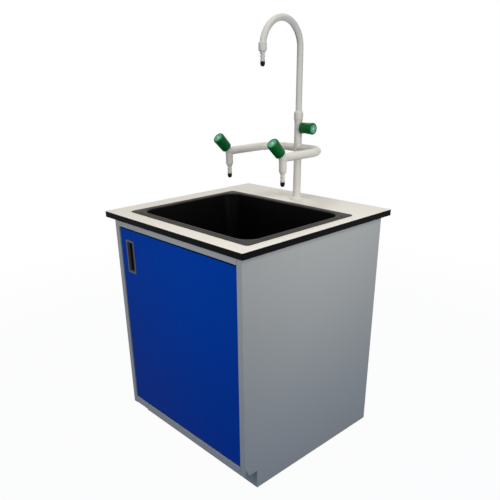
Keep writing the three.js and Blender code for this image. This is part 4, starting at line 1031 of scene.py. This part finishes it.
def bent_tube(radius, wall, start, turn, first_run, centre, axis, angle, last_run):
    """A tube with one bend: a straight run from its start, an arc about a centre, and a last run."""
    begin()
    bpy.ops.mesh.primitive_circle_add(
        vertices=TUBE_SIDES, radius=radius * MM, fill_type="NOTHING",
        location=Vector(start) * MM, rotation=turn)
    tube = bpy.context.object
    bpy.ops.object.transform_apply(location=True, rotation=True, scale=True)
    bpy.ops.object.mode_set(mode="EDIT")
    bpy.ops.mesh.select_mode(type="EDGE")
    bpy.ops.mesh.select_all(action="SELECT")
    bpy.ops.mesh.extrude_region_move(TRANSFORM_OT_translate={"value": Vector(first_run) * MM})
    bpy.ops.mesh.spin(steps=round(angle / BEND_STEP), angle=angle, center=Vector(centre) * MM, axis=axis)
    bpy.ops.mesh.extrude_region_move(TRANSFORM_OT_translate={"value": Vector(last_run) * MM})
    bpy.ops.mesh.select_all(action="SELECT")
    bpy.ops.mesh.remove_doubles(threshold=WELD)
    turn_outward()
    apply_modifier(tube, "SOLIDIFY", thickness=wall * MM, offset=-1.0)
    bpy.ops.object.shade_smooth_by_angle(angle=SMOOTH_ANGLE)
    return tube


ARM_BEND = 76.0
right_arm = bent_tube(
    radius=13.8, wall=3.8, start=(STUB, 0, ARM_HEIGHT), turn=(0, QUARTER, 0),
    first_run=(VALVE_SIDE - ARM_BEND - STUB, 0, 0),
    centre=(VALVE_SIDE - ARM_BEND, -ARM_BEND, ARM_HEIGHT), axis=(0, 0, 1), angle=QUARTER,
    last_run=(0, ARM_BEND + STUB - VALVE_REACH, 0))
left_arm = copy_to(right_arm, Matrix.Scale(-1, 4, Vector((1, 0, 0))))
edit_all(left_arm)
turn_outward()
keep(settle(right_arm, TAP_PLACE), "tap_arm_right_bent", "tap_arm_right")
keep(settle(left_arm, TAP_PLACE), "tap_arm_left_bent", "tap_arm_left")

NECK_BEND = 89.5
BEND_HEIGHT = 508.5
NECK_FOOT = 277.3
gooseneck = bent_tube(
    radius=11, wall=2.5, start=(0, 0, NECK_FOOT), turn=(0, 0, 0),
    first_run=(0, 0, BEND_HEIGHT - NECK_FOOT),
    centre=(0, -NECK_BEND, BEND_HEIGHT), axis=(-1, 0, 0), angle=HALF,
    last_run=(0, 0, -4))
keep(settle(gooseneck, TAP_PLACE), "gooseneck_bent", "gooseneck")
for tube in (right_arm, left_arm, gooseneck):
    print(tube.name, "size", [round(length, 4) for length in tube.dimensions])

# %% [markdown]
# ## Tap fittings
#
# The base flange, the swivel nut and the outlet collar are turned. The nut has a fine groove at its
# foot and a conical shoulder under the gooseneck. The collar is bored twice, once straight for the tube
# and once at a slight angle, because the tube is still bending where it enters.

# %% Base, swivel nut and outlet collar
COLUMN_FIT = 14.3
base = turned([
    (COLUMN_FIT, 0), (27, 0), (27, 4.0, 2.5), (24, 6, 2.0), (16.5, 6.4, 1.8), (16.5, 15, 0.9),
    (COLUMN_FIT, 15), (COLUMN_FIT, 0)])
keep(settle(base, TAP_PLACE), "tap_base_turned", "tap_base")

swivel = turned([
    (COLUMN_FIT, 277), (15.3, 277, 0.3), (15.3, 278.2), (14.6, 278.2), (14.6, 279.8), (16.2, 280.8, 0.4),
    (16.2, 302.5, 1.5), (12.3, 309.5, 0.5), (SOCKET_RADIUS, 309.5), (SOCKET_RADIUS, 295.3),
    (COLUMN_FIT, 295.3), (COLUMN_FIT, 277)])
keep(settle(swivel, TAP_PLACE), "swivel_nut_turned", "swivel_nut")

COLLAR_HEIGHT = 496.5
BEND_LEAN = math.radians(-5.1)
OUTLET_PLACE = TAP_PLACE @ at(0, -2 * NECK_BEND, COLLAR_HEIGHT)
collar = turned([
    (NOZZLE_HOLE, 0), (9, 0, 0.5), (13.6, 4.6, 1.5), (13.6, 28, 1.2),
    (NOZZLE_HOLE, 28), (NOZZLE_HOLE, 0)])
combine(collar, rod(SOCKET_RADIUS, 7.7, 14), "DIFFERENCE")
into_bend = at(0, 0, 12) @ Matrix.Rotation(BEND_LEAN, 4, "X")
combine(collar, rod(11.5, -1, 20, into_bend), "DIFFERENCE")
keep(settle(collar, OUTLET_PLACE), "outlet_collar_turned", "outlet_collar")
print("fittings", [len(piece.data.polygons) for piece in (base, swivel, collar)])

# %% [markdown]
# ### Nozzles and tips
#
# A nozzle's ribs hold a hose, and the black tip is pushed over its end. The three outlets are alike, so
# the nozzle and the tip are each made once as a pattern and copied to their places, each copy with its
# own mesh.

# %% Nozzles and tips
OUTLETS = {
    "neck": OUTLET_PLACE,
    "left": valve_place(-1) @ at(0, 0, -VALVE_DROP),
    "right": valve_place(1) @ at(0, 0, -VALVE_DROP),
}
nozzle = turned([
    (2.6, 12), (4.6, 12), (4.6, 0), (8.2, 0), (8.2, -5.6, 0.4),
    (6.2, -6.2), (6.2, -9.2), (8, -9.8, 0.4), (7.6, -16.4, 0.3),
    (6.2, -16.9), (6.2, -19.9), (8, -20.5, 0.4), (7.6, -27.2, 0.3),
    (3.8, -27.5), (3.8, -35.5), (2.6, -35.5), (2.6, 12)])
tip = turned([
    (4.1, -27.8), (7.8, -27.8, 0.8), (7.8, -35.2, 1.5), (6.6, -39.4, 2.0), (3.9, -42.6, 0.6),
    (2.2, -42.6), (2.2, -35.8), (4.1, -35.8), (4.1, -27.8)])
for name, place in OUTLETS.items():
    keep(copy_to(nozzle, place), f"nozzle_{name}_turned", f"nozzle_{name}")
    keep(copy_to(tip, place), f"nozzle_tip_{name}_moulded", f"nozzle_tip_{name}")
print("nozzle faces", len(nozzle.data.polygons), "tip faces", len(tip.data.polygons))
drop(nozzle, tip)

# %% [markdown]
# ### Knobs and index caps
#
# A knob is a drum that widens a little towards its end, with a shallow recess for the pale cap that
# tells the supply. The flat of the end, inside its rim, is marked for the green finish's painted
# highlight. Each knob rides its own body, so it turns with its spindle, and its cap goes with it.

# %% Knobs and index caps
KNOB_PLACES = {
    "left": valve_place(-1) @ TILTED,
    "right": valve_place(1) @ TILTED,
    "upper": TAP_PLACE @ upper_neck,
}
FLAT_FROM = 70.4
FLAT_RADIUS = 14.5
RECESS_RADIUS = 5.7


def on_flat(face):
    """Whether a face of the knob lies on the flat of its end, between the recess and the rim."""
    across = face.center.xy.length
    return face.center.z > FLAT_FROM * MM and RECESS_RADIUS * MM < across < FLAT_RADIUS * MM


knob = turned([
    (0, 44.3), (4, 44.3), (4, 23.3), (13, 23.3), (13, 17.3), (18.5, 17.3, 2.0), (20, 68.4, 2.0),
    (17.6, 71.2, 1.2), (16, 71.2, 0.6), (15.4, 70.7, 0.5), (FLAT_RADIUS, 70.7),
    (RECESS_RADIUS, 70.7, 0.2), (RECESS_RADIUS, 69.8), (0, 69.8)])
# Marks the flat of the end, which the green finish paints paler as a painted highlight.
highlight_flat = knob.data.attributes.new(HIGHLIGHT_ATTRIBUTE, "FLOAT", "FACE")
highlight_flat.data.foreach_set("value", [float(on_flat(face)) for face in knob.data.polygons])
cap = turned([(0, 70.0), (5.4, 70.0), (5.4, 70.9, 0.5), (3.1, 71.3, 1.0), (0, 71.4)])
for name, place in KNOB_PLACES.items():
    keep(copy_to(knob, place), f"knob_{name}_moulded", f"knob_{name}")
    keep(copy_to(cap, place), f"index_cap_{name}_moulded", f"index_cap_{name}")
print("knob faces", len(knob.data.polygons), "cap faces", len(cap.data.polygons))
drop(knob, cap)

# %% [markdown]
# ## Size and finish
#
# The two boxes are printed side by side, so that a look at the output shows whether the dressed
# unit has kept the CAD model's size.

# %% Print the two boxes
begin()
boxes = {"cad": [list(corner) for corner in cad_box], "visual": [list(corner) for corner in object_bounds()]}
for name, box in boxes.items():
    print(name, [[round(value, 4) for value in corner] for corner in box])
